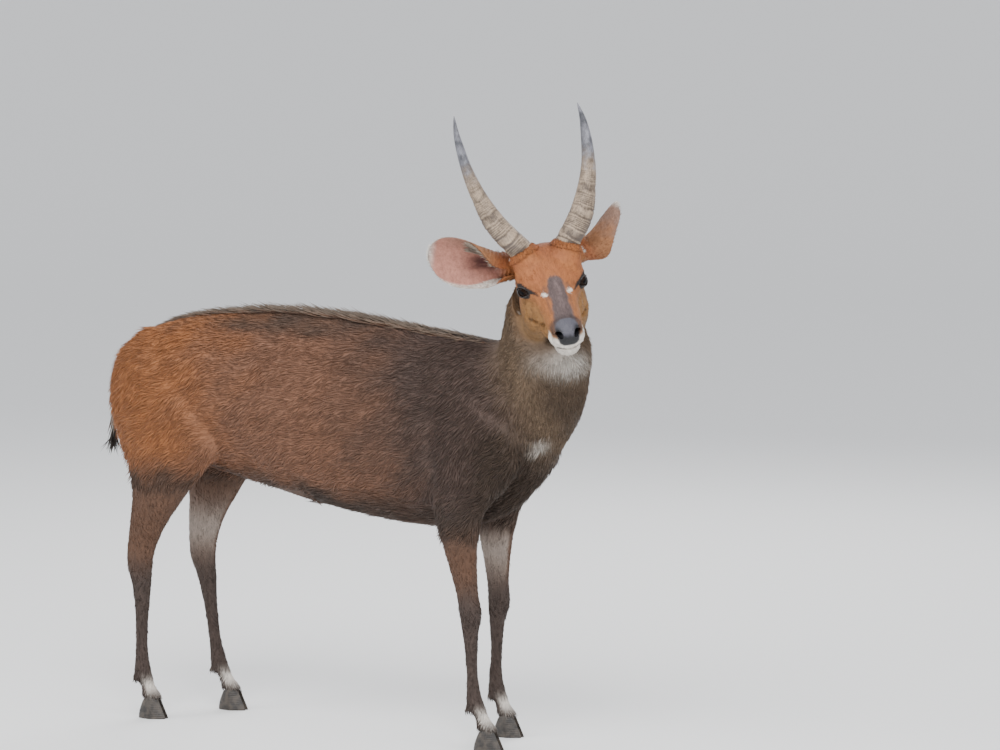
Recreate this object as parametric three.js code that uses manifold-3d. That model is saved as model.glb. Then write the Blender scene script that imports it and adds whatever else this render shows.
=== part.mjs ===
// An adult male bushbuck, life size, standing with its head turned to its right.
// Millimetres, +Z up, +X from rump to chest, +Y to the animal's left, floor at Z = 0.
import * as THREE from "three";
import { mergeVertices } from "three/addons/utils/BufferGeometryUtils.js";
import Module from "manifold-3d";

const wasm = await Module();
wasm.setup();

// Driving dimensions
const GAP = 0.3; // clear space between neighbouring pieces
const SIDES = 22; // corners of a trunk section
const STEPS = 2; // rings made for each stretch between two stations
const EYE_RADIUS = 16.5;
const HORN_SHARES = { left: 0.915, right: 0.975 }; // the left horn is worn shorter
const HORN_TURN_IN = { left: 8, right: 0 }; // how far the tips turn in towards each other
const HORN_BOW = { left: 3, right: 0 }; // how far the middle of each bows out beside its axis
const HORN_STOUT = { left: 0.12, right: 0 }; // share by which the upper part is stouter
const HORN_RADIUS = 25; // at the base
const TAIL_LENGTH = 225;
const CREST_LOCKS = 14; // in each of the three rows along the spine
const CREST_LOCK_LENGTH = 96;
const FORELEG_CUT = 386; // height at which a foreleg leaves the trunk
const HINDLEG_CUT = 446;
const CLAW_TOP = 36; // height of the coronet

// Head pose: the midpoint between the eyes, then turns in degrees
const HEAD_AT = new THREE.Vector3(190, -125, 862);
const HEAD_YAW = -49.5; // to the animal's right
const HEAD_PITCH = 29.2; // nose down
const HEAD_ROLL = 11.5; // crown leaning to its right

const vec = (x, y, z) => new THREE.Vector3(x, y, z);
const rad = THREE.MathUtils.degToRad;

// A seeded draw, so that the locks vary in the same way each time
function makeDraw(seed) {
  let state = seed;
  return (low, high) => {
    state = (state * 1664525 + 1013904223) % 4294967296;
    return low + ((high - low) * state) / 4294967296;
  };
}

// The head's frame: local x to the nose, local y to its left, local z out of the crown
function makeHeadFrame() {
  const yaw = rad(HEAD_YAW);
  const pitch = rad(HEAD_PITCH);
  const roll = rad(HEAD_ROLL);
  const nose = vec(Math.cos(yaw) * Math.cos(pitch), Math.sin(yaw) * Math.cos(pitch), -Math.sin(pitch));
  const level = vec(-Math.sin(yaw), Math.cos(yaw), 0);
  const upright = new THREE.Vector3().crossVectors(nose, level);
  const left = level.clone().multiplyScalar(Math.cos(roll)).addScaledVector(upright, Math.sin(roll));
  const crown = upright.clone().multiplyScalar(Math.cos(roll)).addScaledVector(level, -Math.sin(roll));
  return new THREE.Matrix4().makeBasis(nose, left, crown).setPosition(HEAD_AT);
}

const HEAD = makeHeadFrame();
const headPoint = (u, w, v) => vec(u, w, v).applyMatrix4(HEAD);
const headTurn = (u, w, v) => vec(u, w, v).transformDirection(HEAD);

// Solids

function solidFrom(geometry) {
  const bare = geometry.clone();
  bare.deleteAttribute("normal");
  bare.deleteAttribute("uv");
  const merged = mergeVertices(bare, 1e-4);
  const corners = new Uint32Array(merged.index.array);
  const places = merged.attributes.position.array;
  const parts = { numProp: 3, vertProperties: places, triVerts: corners };
  const make = () => new wasm.Manifold(new wasm.Mesh(parts));
  let solid = make();
  if (solid.volume() < 0) {
    for (let i = 0; i < corners.length; i += 3) {
      [corners[i + 1], corners[i + 2]] = [corners[i + 2], corners[i + 1]];
    }
    solid = make();
  }
  return solid;
}

function geometryFrom(solid) {
  const mesh = solid.getMesh();
  const places = new Float32Array(mesh.numVert * 3);
  for (let i = 0; i < mesh.numVert; i++) {
    places.set(mesh.vertProperties.subarray(i * mesh.numProp, i * mesh.numProp + 3), i * 3);
  }
  const geometry = new THREE.BufferGeometry();
  geometry.setAttribute("position", new THREE.BufferAttribute(places, 3));
  geometry.setIndex(new THREE.BufferAttribute(new Uint32Array(mesh.triVerts), 1));
  geometry.computeVertexNormals();
  return geometry;
}

const moved = (solid, matrix) => solid.transform(matrix.elements);
const toBody = (solid) => moved(solid, HEAD);
const joined = (solids) => solids.reduce((whole, next) => whole.add(next));
const largest = (solid) => solid.decompose().reduce((a, b) => (b.volume() > a.volume() ? b : a));

const ball = (centre, radius) => ellipsoid(centre, vec(radius, radius, radius), 12);

function ellipsoid(centre, radii, sides = 12) {
  const shape = new THREE.SphereGeometry(1, sides, Math.round(sides * 0.7));
  shape.applyMatrix4(new THREE.Matrix4().compose(centre, new THREE.Quaternion(), radii));
  return solidFrom(shape);
}

// A box whose local z runs along a given direction
function plate(centre, along, sideways, size) {
  const z = along.clone().normalize();
  const x = sideways.clone().addScaledVector(z, -sideways.dot(z)).normalize();
  const y = new THREE.Vector3().crossVectors(z, x);
  const slab = new THREE.BoxGeometry(size.x, size.y, size.z);
  slab.applyMatrix4(new THREE.Matrix4().makeBasis(x, y, z).setPosition(centre));
  return solidFrom(slab);
}

// A closed skin over a row of rings with the same number of points
function loft(rings) {
  const count = rings[0].length;
  const middle = (ring) => ring.reduce((sum, p) => sum.add(p), vec(0, 0, 0)).divideScalar(count);
  const points = [...rings.flat(), middle(rings[0]), middle(rings.at(-1))];
  const faces = [];
  rings.slice(1).forEach((_, row) => {
    for (let i = 0; i < count; i++) {
      const next = (i + 1) % count;
      const [a, b] = [row * count + i, row * count + next];
      faces.push(a, b, b + count, a, b + count, a + count);
    }
  });
  const last = (rings.length - 1) * count;
  for (let i = 0; i < count; i++) {
    const next = (i + 1) % count;
    faces.push(points.length - 2, next, i, points.length - 1, last + i, last + next);
  }
  const geometry = new THREE.BufferGeometry().setFromPoints(points);
  geometry.setIndex(faces);
  return solidFrom(geometry);
}

// Smooth value at place t, where whole numbers are the listed values
function between(values, t) {
  const i = Math.min(Math.floor(t), values.length - 2);
  const f = t - i;
  const at = (k) => values[Math.max(0, Math.min(values.length - 1, k))];
  const [a, b, c, d] = [at(i - 1), at(i), at(i + 1), at(i + 2)];
  return b + 0.5 * f * (c - a + f * (2 * a - 5 * b + 4 * c - d + f * (3 * (b - c) + d - a)));
}

function betweenPoints(points, t) {
  return vec(...["x", "y", "z"].map((axis) => between(points.map((p) => p[axis]), t)));
}

// A section with its own top, bottom and half width. level is where it is widest, from
// bottom to top. peak and keel above 1 narrow the top and bottom, and below 1 square them.
function section({ top, bottom, side, half, level, peak, keel }, count) {
  const waist = bottom.clone().lerp(top, level);
  return Array.from({ length: count }, (_, i) => {
    const turn = (2 * Math.PI * i) / count;
    const rise = Math.cos(turn);
    const across = Math.sign(Math.sin(turn)) * Math.abs(Math.sin(turn)) ** (rise > 0 ? peak : keel);
    const end = rise > 0 ? top : bottom;
    return waist.clone().lerp(end, Math.abs(rise)).addScaledVector(side, half * across);
  });
}

function sectionBetween(stations, t) {
  const value = (name) => between(stations.map((s) => s[name]), t);
  const point = (name) => betweenPoints(stations.map((s) => s[name]), t);
  return {
    top: point("top"),
    bottom: point("bottom"),
    side: point("side").normalize(),
    half: value("half"),
    level: value("level"),
    peak: value("peak"),
    keel: value("keel"),
  };
}

function stationLoft(stations, count, steps = STEPS) {
  const total = (stations.length - 1) * steps;
  const rings = Array.from({ length: total + 1 }, (_, i) =>
    section(sectionBetween(stations, i / steps), count),
  );
  return loft(rings);
}

// Trunk and neck: one skin from the pin bones to the throat

function trunkStation(topX, topZ, bottomX, bottomZ, half, level = 0.5, peak = 1, keel = 1, y = 0, yaw = 0) {
  return {
    top: vec(topX, y, topZ),
    bottom: vec(bottomX, y * 0.8, bottomZ),
    side: vec(-Math.sin(rad(yaw)), Math.cos(rad(yaw)), 0),
    half,
    level,
    peak,
    keel,
  };
}

const TRUNK = {
  pinBones: trunkStation(-783, 672, -780, 628, 26, 0.5),
  tailRoot: trunkStation(-766, 706, -764, 572, 68, 0.5),
  croup: trunkStation(-722, 738, -716, 520, 100, 0.5),
  hips: trunkStation(-655, 760, -650, 486, 116, 0.52),
  flank: trunkStation(-575, 771, -572, 468, 117, 0.52, 1.05),
  loin: trunkStation(-490, 777, -490, 450, 118, 0.5, 1.08),
  lastRib: trunkStation(-400, 778, -402, 430, 124, 0.47, 1.1),
  barrel: trunkStation(-310, 774, -312, 413, 128, 0.45, 1.12),
  girth: trunkStation(-220, 767, -220, 400, 126, 0.45, 1.16, 1.05),
  behindElbow: trunkStation(-135, 759, -130, 393, 116, 0.46, 1.24, 1.1),
  withers: trunkStation(-62, 753, -45, 398, 104, 0.47, 1.3, 1.1),
  shoulders: trunkStation(-18, 748, 38, 424, 96, 0.5, 1.25, 1.05),
  brisket: trunkStation(10, 746, 96, 478, 90, 0.52, 1.15),
  neckRoot: trunkStation(28, 752, 138, 540, 84, 0.52, 1.1, 1, -3, -3),
  neckBase: trunkStation(40, 770, 176, 604, 79, 0.52, 1.05, 1, -10, -8),
  neckLow: trunkStation(56, 798, 194, 668, 73, 0.52, 1, 1, -22, -15),
  neckMiddle: trunkStation(76, 832, 196, 728, 67, 0.52, 1, 1, -38, -24),
  throat: {
    top: headPoint(-104, 0, -6),
    bottom: headPoint(-62, 0, -112),
    side: headTurn(-0.12, 1, 0),
    half: 57,
    level: 0.55,
    peak: 1,
    keel: 1,
  },
  insideHead: {
    top: headPoint(-70, 0, 26),
    bottom: headPoint(-34, 0, -80),
    side: headTurn(0, 1, 0),
    half: 44,
    level: 0.5,
    peak: 1,
    keel: 1,
  },
};

const middleOf = (station) => station.top.clone().lerp(station.bottom, 0.5);

function makeTrunk() {
  return stationLoft(Object.values(TRUNK), SIDES);
}

// Legs: level sections given by centre, half length fore and aft, and half width

function legSection([x, y, z, halfLength, halfWidth], count) {
  return Array.from({ length: count }, (_, i) => {
    const turn = (2 * Math.PI * i) / count;
    return vec(x + halfLength * Math.cos(turn), y + halfWidth * Math.sin(turn), z);
  });
}

function legLoft(rows, count) {
  const steps = STEPS;
  const total = (rows.length - 1) * steps;
  const rings = Array.from({ length: total + 1 }, (_, i) => {
    const place = rows[0].map((_, field) => between(rows.map((row) => row[field]), i / steps));
    return legSection(place, count);
  });
  return loft(rings);
}

// Centre x, centre y, height, half length, half width, from the shoulder blade down
const FORELEG = {
  blade: [-54, 46, 706, 30, 14],
  upperBlade: [-40, 62, 650, 72, 29],
  shoulder: [-10, 73, 590, 96, 40],
  upperArm: [8, 80, 535, 95, 43],
  armpit: [-2, 84, 482, 76, 40],
  elbow: [-24, 84, 436, 55, 34],
  forearmTop: [-28, 82, 388, 40, 28],
  forearm: [-24, 80, 338, 30, 23],
  aboveKnee: [-18, 78, 288, 23.5, 20],
  knee: [-13, 77, 248, 23, 21.5],
  belowKnee: [-15, 76, 210, 17, 16],
  cannon: [-14, 76, 155, 13.5, 13],
  aboveFetlock: [-13, 76, 110, 15.5, 14],
  fetlock: [-9, 76, 84, 19, 17],
  pastern: [4, 76, 60, 15.5, 15.5],
  coronet: [16, 76, CLAW_TOP + GAP, 21, 18.5],
};

const HINDLEG = {
  hip: [-676, 40, 742, 44, 18],
  rump: [-674, 60, 700, 90, 38],
  upperThigh: [-664, 72, 645, 116, 48],
  thigh: [-654, 79, 585, 122, 49],
  stifle: [-640, 83, 525, 112, 45],
  lowThigh: [-645, 83, 472, 82, 38],
  gaskin: [-662, 81, 420, 57, 30],
  lowGaskin: [-682, 79, 368, 41, 23],
  aboveHock: [-694, 78, 322, 33, 18.5],
  hock: [-696, 77, 288, 29, 19],
  belowHock: [-690, 76, 250, 21.5, 17.5],
  cannon: [-686, 76, 195, 16, 14],
  lowCannon: [-683, 76, 140, 14.5, 13],
  aboveFetlock: [-680, 76, 110, 16.5, 14.5],
  fetlock: [-676, 76, 84, 19.5, 17],
  pastern: [-663, 76, 60, 15.5, 15.5],
  coronet: [-651, 76, CLAW_TOP + GAP, 21, 18.5],
};

// Stance: how far each foot stands ahead of square, and which rows it uses
const LEGS = {
  foreleg_right: { rows: FORELEG, side: -1, ahead: 20, cut: FORELEG_CUT },
  foreleg_left: { rows: FORELEG, side: 1, ahead: -26, cut: FORELEG_CUT },
  hindleg_right: { rows: HINDLEG, side: -1, ahead: -42, cut: HINDLEG_CUT },
  hindleg_left: { rows: HINDLEG, side: 1, ahead: 46, cut: HINDLEG_CUT },
};
const STANCE_TOP = 560; // the leg swings about this height

const swing = (leg, z) => leg.ahead * Math.max(0, 1 - z / STANCE_TOP);

function makeLeg(leg) {
  const rows = Object.values(leg.rows).map(([x, y, z, long, wide]) => [
    x + swing(leg, z),
    leg.side * y,
    z,
    long,
    wide,
  ]);
  const claws = [1, -1].map((way) => makeDewclaw(leg, way));
  return joined([legLoft(rows, 12), ...claws]);
}

function makeDewclaw(leg, way) {
  const [x, y, z, long] = leg.rows.fetlock;
  const upright = new THREE.CylinderGeometry(5.5, 2, 20, 6);
  upright.rotateX(Math.PI / 2);
  upright.rotateY(rad(28));
  upright.translate(x + swing(leg, z) - long * 0.86, leg.side * y + way * 9.5, z - 11);
  return solidFrom(upright);
}

// Hooves: two claws to a foot, each a wedge with a flat sole and a pointed toe
const CLAW = { heel: -25, toe: 31, halfWidth: 9.3, apart: 10.6, toeRise: 0.62 };

function clawOutline(share, count = 12) {
  // The sole is full size, and the coronet above it is shorter at the toe
  const toe = CLAW.toe * (1 - (1 - CLAW.toeRise) * share);
  const heel = CLAW.heel + 5 * share;
  return Array.from({ length: count }, (_, i) => {
    const turn = (2 * Math.PI * i) / count;
    const along = (1 + Math.cos(turn)) / 2;
    const x = heel + (toe - heel) * along;
    const point = Math.sin(Math.PI * Math.min(1, (1 - along) * 0.62 + 0.02)) ** 0.55;
    return vec(x, CLAW.halfWidth * Math.sin(turn) * Math.min(1, point * 1.15), CLAW_TOP * share);
  });
}

function makeClaw() {
  return loft([0, 0.15, 0.6, 1].map((share) => clawOutline(share)));
}

// Head, in its own frame: x to the nose, y to the left, z out of the crown

function headStation(u, top, bottom, half, level = 0.55, peak = 0.9, keel = 1) {
  return { top: vec(u, 0, top), bottom: vec(u, 0, bottom), side: vec(0, 1, 0), half, level, peak, keel };
}

const SKULL = {
  occiput: headStation(-100, -4, -34, 18),
  nape: headStation(-93, 16, -54, 36),
  crownBack: headStation(-78, 34, -68, 48, 0.56),
  crown: headStation(-56, 45, -78, 55, 0.52),
  hornSeat: headStation(-34, 46, -84, 59, 0.48),
  brow: headStation(-12, 42, -80, 59, 0.5),
  eyes: headStation(8, 37, -70, 53.5, 0.56),
  underEyes: headStation(26, 32, -60, 46.5, 0.56),
  faceTop: headStation(46, 27, -52, 40.5, 0.54),
  face: headStation(68, 22.5, -46, 36, 0.5),
  muzzle: headStation(90, 18, -43, 33, 0.48),
  upperLip: headStation(112, 13.5, -43, 31.5, 0.44, 0.85),
  nostrils: headStation(131, 9.5, -43.5, 30, 0.42, 0.8, 0.9),
  nosePad: headStation(146, 4, -41, 26.5, 0.42, 0.78, 0.85),
  noseFront: headStation(156, -3, -35, 20, 0.42, 0.8, 0.85),
  noseTip: headStation(161, -10, -26, 10.5, 0.45),
};

const JAW = {
  inNeck: headStation(-66, -40, -82, 32),
  angle: headStation(-46, -34, -100, 45),
  cheek: headStation(-18, -28, -102, 49.5),
  jowl: headStation(14, -26, -97, 47),
  middle: headStation(44, -26, -87, 40),
  bars: headStation(72, -28, -77, 33),
  corner: headStation(96, -31, -69, 27),
  chin: headStation(118, -34, -68, 24, 0.45),
  lowerLip: headStation(134, -36, -65, 21, 0.45),
  lipFront: headStation(145, -39, -58, 14, 0.5),
  lipEnd: headStation(149, -43, -52, 7, 0.5),
};

const EYE_CENTRE = vec(2, 45, -5);
const EYE_LOOK = vec(0.56, 0.8, 0.2).normalize();
const mirrored = (p, side) => vec(p.x, p.y * side, p.z);

// Lids: a thin cap over the eyeball with an almond opening cut along the line of sight
function makeLids(side) {
  const centre = mirrored(EYE_CENTRE, side);
  const look = mirrored(EYE_LOOK, side);
  const cap = ball(centre, EYE_RADIUS + 2.6);
  const almond = new THREE.Shape();
  almond.moveTo(17, 3.5);
  almond.quadraticCurveTo(0, 19, -15.5, -3);
  almond.quadraticCurveTo(0, -20, 17, 3.5);
  const slot = new THREE.ExtrudeGeometry(almond, { depth: 40, bevelEnabled: false, curveSegments: 6 });
  const forward = vec(1, 0, 0).addScaledVector(look, -look.x).normalize();
  const up = new THREE.Vector3().crossVectors(forward, look).multiplyScalar(side);
  slot.applyMatrix4(new THREE.Matrix4().makeBasis(forward, up, look).setPosition(centre));
  return cap.subtract(solidFrom(slot));
}

// The cone of skin and bone that each horn stands on
const HORN_SEAT = vec(-36, 29, 18);
const HORN_BASE = vec(-50, 41, 42);

function makeHornSeat(side) {
  const [low, high] = [mirrored(HORN_SEAT, side), mirrored(HORN_BASE, side)];
  const outline = [0, HORN_RADIUS + 21, HORN_RADIUS + 11, HORN_RADIUS + 5, HORN_RADIUS + 2, 0];
  const height = [-0.8, -0.8, -0.1, 0.55, 1.06, 1.06].map((share) => share * low.distanceTo(high));
  const cone = new THREE.LatheGeometry(outline.map((r, i) => new THREE.Vector2(r, height[i])), 14);
  const turn = new THREE.Quaternion().setFromUnitVectors(vec(0, 1, 0), high.clone().sub(low).normalize());
  cone.applyQuaternion(turn);
  cone.translate(low.x, low.y, low.z);
  return solidFrom(cone);
}

// The groove between the lips, cut 3 mm deep all round the front of the mouth
const MOUTH_LINE = [vec(98, 0, -47), vec(112, 0, -46), vec(130, 0, -44.5), vec(172, 0, -39)];

function makeMouthGroove() {
  const half = 0.8;
  const shape = new THREE.Shape();
  const edge = (shift) => MOUTH_LINE.map((p) => new THREE.Vector2(p.x, p.z + shift));
  shape.setFromPoints([...edge(half), ...edge(-half).reverse()]);
  const sheet = new THREE.ExtrudeGeometry(shape, { depth: 80, bevelEnabled: false });
  sheet.rotateX(Math.PI / 2);
  sheet.translate(0, 40, 0);
  const core = stationLoft(
    [
      headStation(70, 10, -70, 24),
      headStation(104, 10, -70, 22),
      headStation(128, 10, -70, 20.5),
      headStation(142, 10, -70, 14),
      headStation(148, 10, -70, 5),
    ],
    16,
  );
  return solidFrom(sheet).subtract(core);
}

function makeNostril(side) {
  const pit = new THREE.SphereGeometry(1, 12, 8);
  pit.scale(11, 4.2, 6.2);
  pit.rotateZ(rad(38) * side);
  pit.rotateX(rad(-24) * side);
  pit.translate(149, side * 15, -11);
  return solidFrom(pit);
}

function makeHead() {
  const both = (make) => [1, -1].map(make);
  const flesh = joined([
    stationLoft(Object.values(SKULL), 20),
    stationLoft(Object.values(JAW), 14),
    ...both((s) => ellipsoid(vec(-10, s * 41, -56), vec(57, 20, 43))), // cheek muscle
    ...both((s) => ellipsoid(vec(34, s * 31, -30), vec(32, 15.5, 23), 9)), // cheek bone
    ...both((s) => ellipsoid(vec(-5, s * 41, -2), vec(29, 20, 23), 12)), // rim of the orbit
    ...both((s) => ellipsoid(vec(122, s * 18, -29), vec(27, 14, 17), 9)), // upper lip pad
    ...both(makeHornSeat),
    ...both(makeLids),
  ]);
  const eyes = both((s) => ball(mirrored(EYE_CENTRE, s), EYE_RADIUS + GAP));
  return flesh.subtract(joined([...eyes, ...both(makeNostril), makeMouthGroove()]));
}

// Ears: a leaf rolled into a cup that opens wide towards the tip

const EARS = {
  // root and tip in the head's frame, and the way that the cup faces
  ear_right: { root: vec(-80, -34, -14), tip: vec(-118, -203, 22), face: vec(0.86, -0.3, 0.3) },
  ear_left: { root: vec(-80, 38, -14), tip: vec(-151, 157, 20), face: vec(0.28, 0.415, -0.867) },
};
const EAR_THICK = 3.2;
// Half width of the leaf, and the angles that it wraps round on its front and its hind edge
const EAR_WIDTHS = [22, 23.5, 26, 32, 41, 46.5, 47.5, 45, 36, 14];
const EAR_WRAPS = {
  front: [168, 168, 165, 150, 118, 84, 62, 50, 44, 40],
  hind: [168, 166, 150, 100, 76, 66, 58, 50, 44, 40],
};
const EAR_CUT = 34; // distance from the root to where the ear parts from the head

function makeEar({ root, tip, face }, rows = 11, columns = 10) {
  const along = tip.clone().sub(root);
  const length = along.length();
  along.normalize();
  const open = face.clone().addScaledVector(along, -face.dot(along)).normalize();
  const across = new THREE.Vector3().crossVectors(along, open);
  const frontFirst = across.z < 0;
  const ring = (s) => {
    const half = between(EAR_WIDTHS, s * (EAR_WIDTHS.length - 1));
    const front = rad(between(EAR_WRAPS.front, s * (EAR_WIDTHS.length - 1)));
    const hind = rad(between(EAR_WRAPS.hind, s * (EAR_WIDTHS.length - 1)));
    const first = frontFirst ? front : hind;
    const radius = half / Math.sin(Math.min((front + hind) / 2, Math.PI / 2));
    const rise = radius - 20 + 8 * Math.sin(Math.PI * s);
    const centre = root.clone().addScaledVector(along, length * s).addScaledVector(open, rise);
    const wall = (r) =>
      Array.from({ length: columns + 1 }, (_, i) => {
        const turn = ((front + hind) * i) / columns - first;
        const corner = centre.clone().addScaledVector(across, r * Math.sin(turn));
        return corner.addScaledVector(open, -r * Math.cos(turn));
      });
    const thick = EAR_THICK * (1 - 0.45 * s);
    return [...wall(radius), ...wall(radius - thick).reverse()];
  };
  return loft(Array.from({ length: rows + 1 }, (_, i) => ring(i / rows)));
}

// The ear parts from the head at a plane across its stalk
function partEar(ear) {
  const along = ear.tip.clone().sub(ear.root).normalize();
  const at = ear.root.clone().addScaledVector(along, EAR_CUT).applyMatrix4(HEAD);
  return partAt(toBody(joined([makeEar(ear), makeEarRoot(ear)])), at, along.transformDirection(HEAD));
}

function makeEarRoot({ root, tip }) {
  const along = tip.clone().sub(root).normalize();
  const cone = new THREE.CylinderGeometry(22, 30, 68, 12);
  cone.applyQuaternion(new THREE.Quaternion().setFromUnitVectors(vec(0, 1, 0), along));
  const middle = root.clone().addScaledVector(along, 12);
  cone.translate(middle.x, middle.y, middle.z);
  return solidFrom(cone);
}

// Horns: a tapering twist with one keel, leaning out, then up and in

const HORN_AXIS = [
  vec(0, 0, 0),
  vec(-38, 33, 42),
  vec(-80, 57, 86),
  vec(-118, 70, 132),
  vec(-148, 75, 172),
  vec(-168, 73, 205),
];

// The socket that the horn fills is the same twist, a little wider and set a little deeper
function makeHorn(side, spare = 0) {
  const name = side > 0 ? "left" : "right";
  const share = HORN_SHARES[name];
  const height = (p) => p.z / HORN_AXIS.at(-1).z;
  const inward = (p) => HORN_TURN_IN[name] * height(p) ** 2 - HORN_BOW[name] * Math.sin(Math.PI * height(p));
  const path = HORN_AXIS.map((p) => vec(p.x * share, p.y - inward(p), p.z * share).add(HORN_BASE));
  const axis = new THREE.CatmullRomCurve3(path.map((p) => mirrored(p, side)));
  const rings = [];
  const rows = 21;
  for (let row = 0; row <= rows; row++) {
    const s = row / rows;
    const along = axis.getTangent(s);
    const centre = axis.getPoint(s).addScaledVector(along, row ? 0 : -spare);
    const out = vec(0, side, 0).addScaledVector(along, -along.y * side).normalize();
    const front = new THREE.Vector3().crossVectors(out, along).multiplyScalar(side);
    const stout = 1 + HORN_STOUT[name] * Math.min(1, s / 0.4);
    const radius = HORN_RADIUS * stout * (1 - s) ** 0.66 * (1 - 0.14 * s) + 0.8 + spare;
    const keelAt = rad(20 + 300 * s);
    const ridge = 1 + 0.025 * Math.sin(s * 110) * Math.max(0, 1 - s / 0.6);
    const ring = Array.from({ length: 12 }, (_, i) => {
      const turn = (2 * Math.PI * i) / 12;
      const off = Math.cos(turn - keelAt);
      const keel = 1 + 0.24 * Math.max(0, off) ** 5 - 0.04 * Math.max(0, -off);
      const r = radius * keel * ridge;
      const corner = centre.clone().addScaledVector(front, r * Math.cos(turn));
      return corner.addScaledVector(out, r * 0.88 * Math.sin(turn));
    });
    rings.push(ring);
  }
  return loft(rings);
}

// Hair in locks: the crest along the spine and the brush of the tail

// A flat lock from root along a bending path, tapering to its tip
function makeLock({ root, way, bend, side, length, width, thick }) {
  const rings = [0, 0.5, 1].map((s) => {
    const centre = root.clone().addScaledVector(way, length * s).addScaledVector(bend, length * s * s);
    const taper = s < 1 ? 1 - 0.3 * s : 0.06;
    const flat = new THREE.Vector3().crossVectors(way, side).normalize();
    return [
      centre.clone().addScaledVector(side, (width / 2) * taper),
      centre.clone().addScaledVector(flat, (thick / 2) * taper),
      centre.clone().addScaledVector(side, (-width / 2) * taper),
      centre.clone().addScaledVector(flat, (-thick / 2) * taper),
    ];
  });
  return loft(rings);
}

const CREST_SPAN = [2.1, 10.3]; // from croup to withers, counted in trunk stations
const CREST_ROWS = [
  { off: 0, start: 0, lift: 4 },
  { off: -9, start: 0.33, lift: 0 },
  { off: 9, start: 0.67, lift: 0 },
];

function makeCrest() {
  const draw = makeDraw(7);
  const stations = Object.values(TRUNK);
  const spine = (t) => betweenPoints(stations.map((s) => s.top), t);
  const locks = [];
  CREST_ROWS.forEach(({ off, start, lift }) => {
    for (let i = 0; i < CREST_LOCKS; i++) {
      const share = (i + start) / CREST_LOCKS;
      const t = THREE.MathUtils.lerp(CREST_SPAN[0], CREST_SPAN[1], share);
      const back = spine(t - 0.05).sub(spine(t + 0.05)).normalize();
      const up = vec(-back.z, off * 0.014, back.x).multiplyScalar(-1).setY(off * 0.014).normalize();
      const arch = Math.sin(Math.PI * share ** 0.85);
      const length = CREST_LOCK_LENGTH * (0.66 + 0.34 * arch) * draw(0.94, 1.06);
      const lean = rad(10 + 9 * arch + draw(-1.5, 1.5));
      locks.push(
        makeLock({
          root: spine(t).add(vec(0, off, lift - 9)),
          way: back.clone().multiplyScalar(Math.cos(lean)).addScaledVector(up, Math.sin(lean)),
          bend: up.clone().multiplyScalar(-0.12).add(vec(0, off * 0.006, 0)),
          side: vec(0, 1, -off * 0.02).normalize(),
          length,
          width: 21,
          thick: 13,
        }),
      );
    }
  });
  return locks;
}

// Tail: the dock hangs close behind the rump and carries overlapping locks to its tip

const DOCK = [
  vec(-752, 0, 704),
  vec(-790, 0, 693),
  vec(-814, 0, 655),
  vec(-822, 0, 600),
  vec(-824, 0, 550),
  vec(-825, 0, 732 - TAIL_LENGTH),
];
const DOCK_RADIUS = [15, 13, 11, 9, 7, 3.5];

// Flesh that ends in a stalk on the body: the free part, and the stalk it is parted from
function partAt(whole, at, along) {
  const place = along.dot(at);
  return {
    leaf: whole.trimByPlane(along.toArray(), place + GAP / 2),
    stalk: whole.trimByPlane(along.clone().negate().toArray(), GAP / 2 - place),
  };
}

const TAIL_TIERS = 6;

function makeTail() {
  const draw = makeDraw(23);
  const at = (s) => betweenPoints(DOCK, s * (DOCK.length - 1));
  const dock = loft(
    Array.from({ length: 10 }, (_, i) => {
      const s = i / 9;
      const r = between(DOCK_RADIUS, s * (DOCK_RADIUS.length - 1));
      const along = at(Math.min(1, s + 0.02)).sub(at(Math.max(0, s - 0.02))).normalize();
      const back = new THREE.Vector3().crossVectors(vec(0, 1, 0), along);
      return Array.from({ length: 10 }, (_, k) => {
        const turn = (Math.PI * k) / 5;
        const corner = at(s).add(vec(0, r * 1.5 * Math.cos(turn), 0));
        return corner.addScaledVector(back, r * 0.8 * Math.sin(turn));
      });
    }),
  );
  const locks = [];
  for (let tier = 0; tier < TAIL_TIERS; tier++) {
    const s = 0.26 + (0.72 * tier) / (TAIL_TIERS - 1);
    const r = between(DOCK_RADIUS, s * (DOCK_RADIUS.length - 1));
    [-1, -0.35, 0.35, 1].forEach((place) => {
      const spread = place * 0.3 + draw(-0.03, 0.03);
      locks.push(
        makeLock({
          root: at(s).add(vec(-2 + 3 * Math.abs(place), place * r, 2)),
          way: vec(-0.08 + 0.05 * Math.abs(place), spread, -1).normalize(),
          bend: vec(0.03, -spread * 0.5, 0),
          side: vec(0, 1, spread).normalize(),
          length: draw(64, 78) * (1 - 0.25 * Math.max(0, s - 0.7)),
          width: 19,
          thick: 7,
        }),
      );
    });
  }
  return partAt(joined([dock, ...locks]), vec(-797, 0, 690), vec(-0.62, 0, -0.78).normalize());
}

// The whole body, then thin cuts that part it into its named pieces

function cutAway(whole, slab) {
  return whole.subtract(slab);
}

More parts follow.
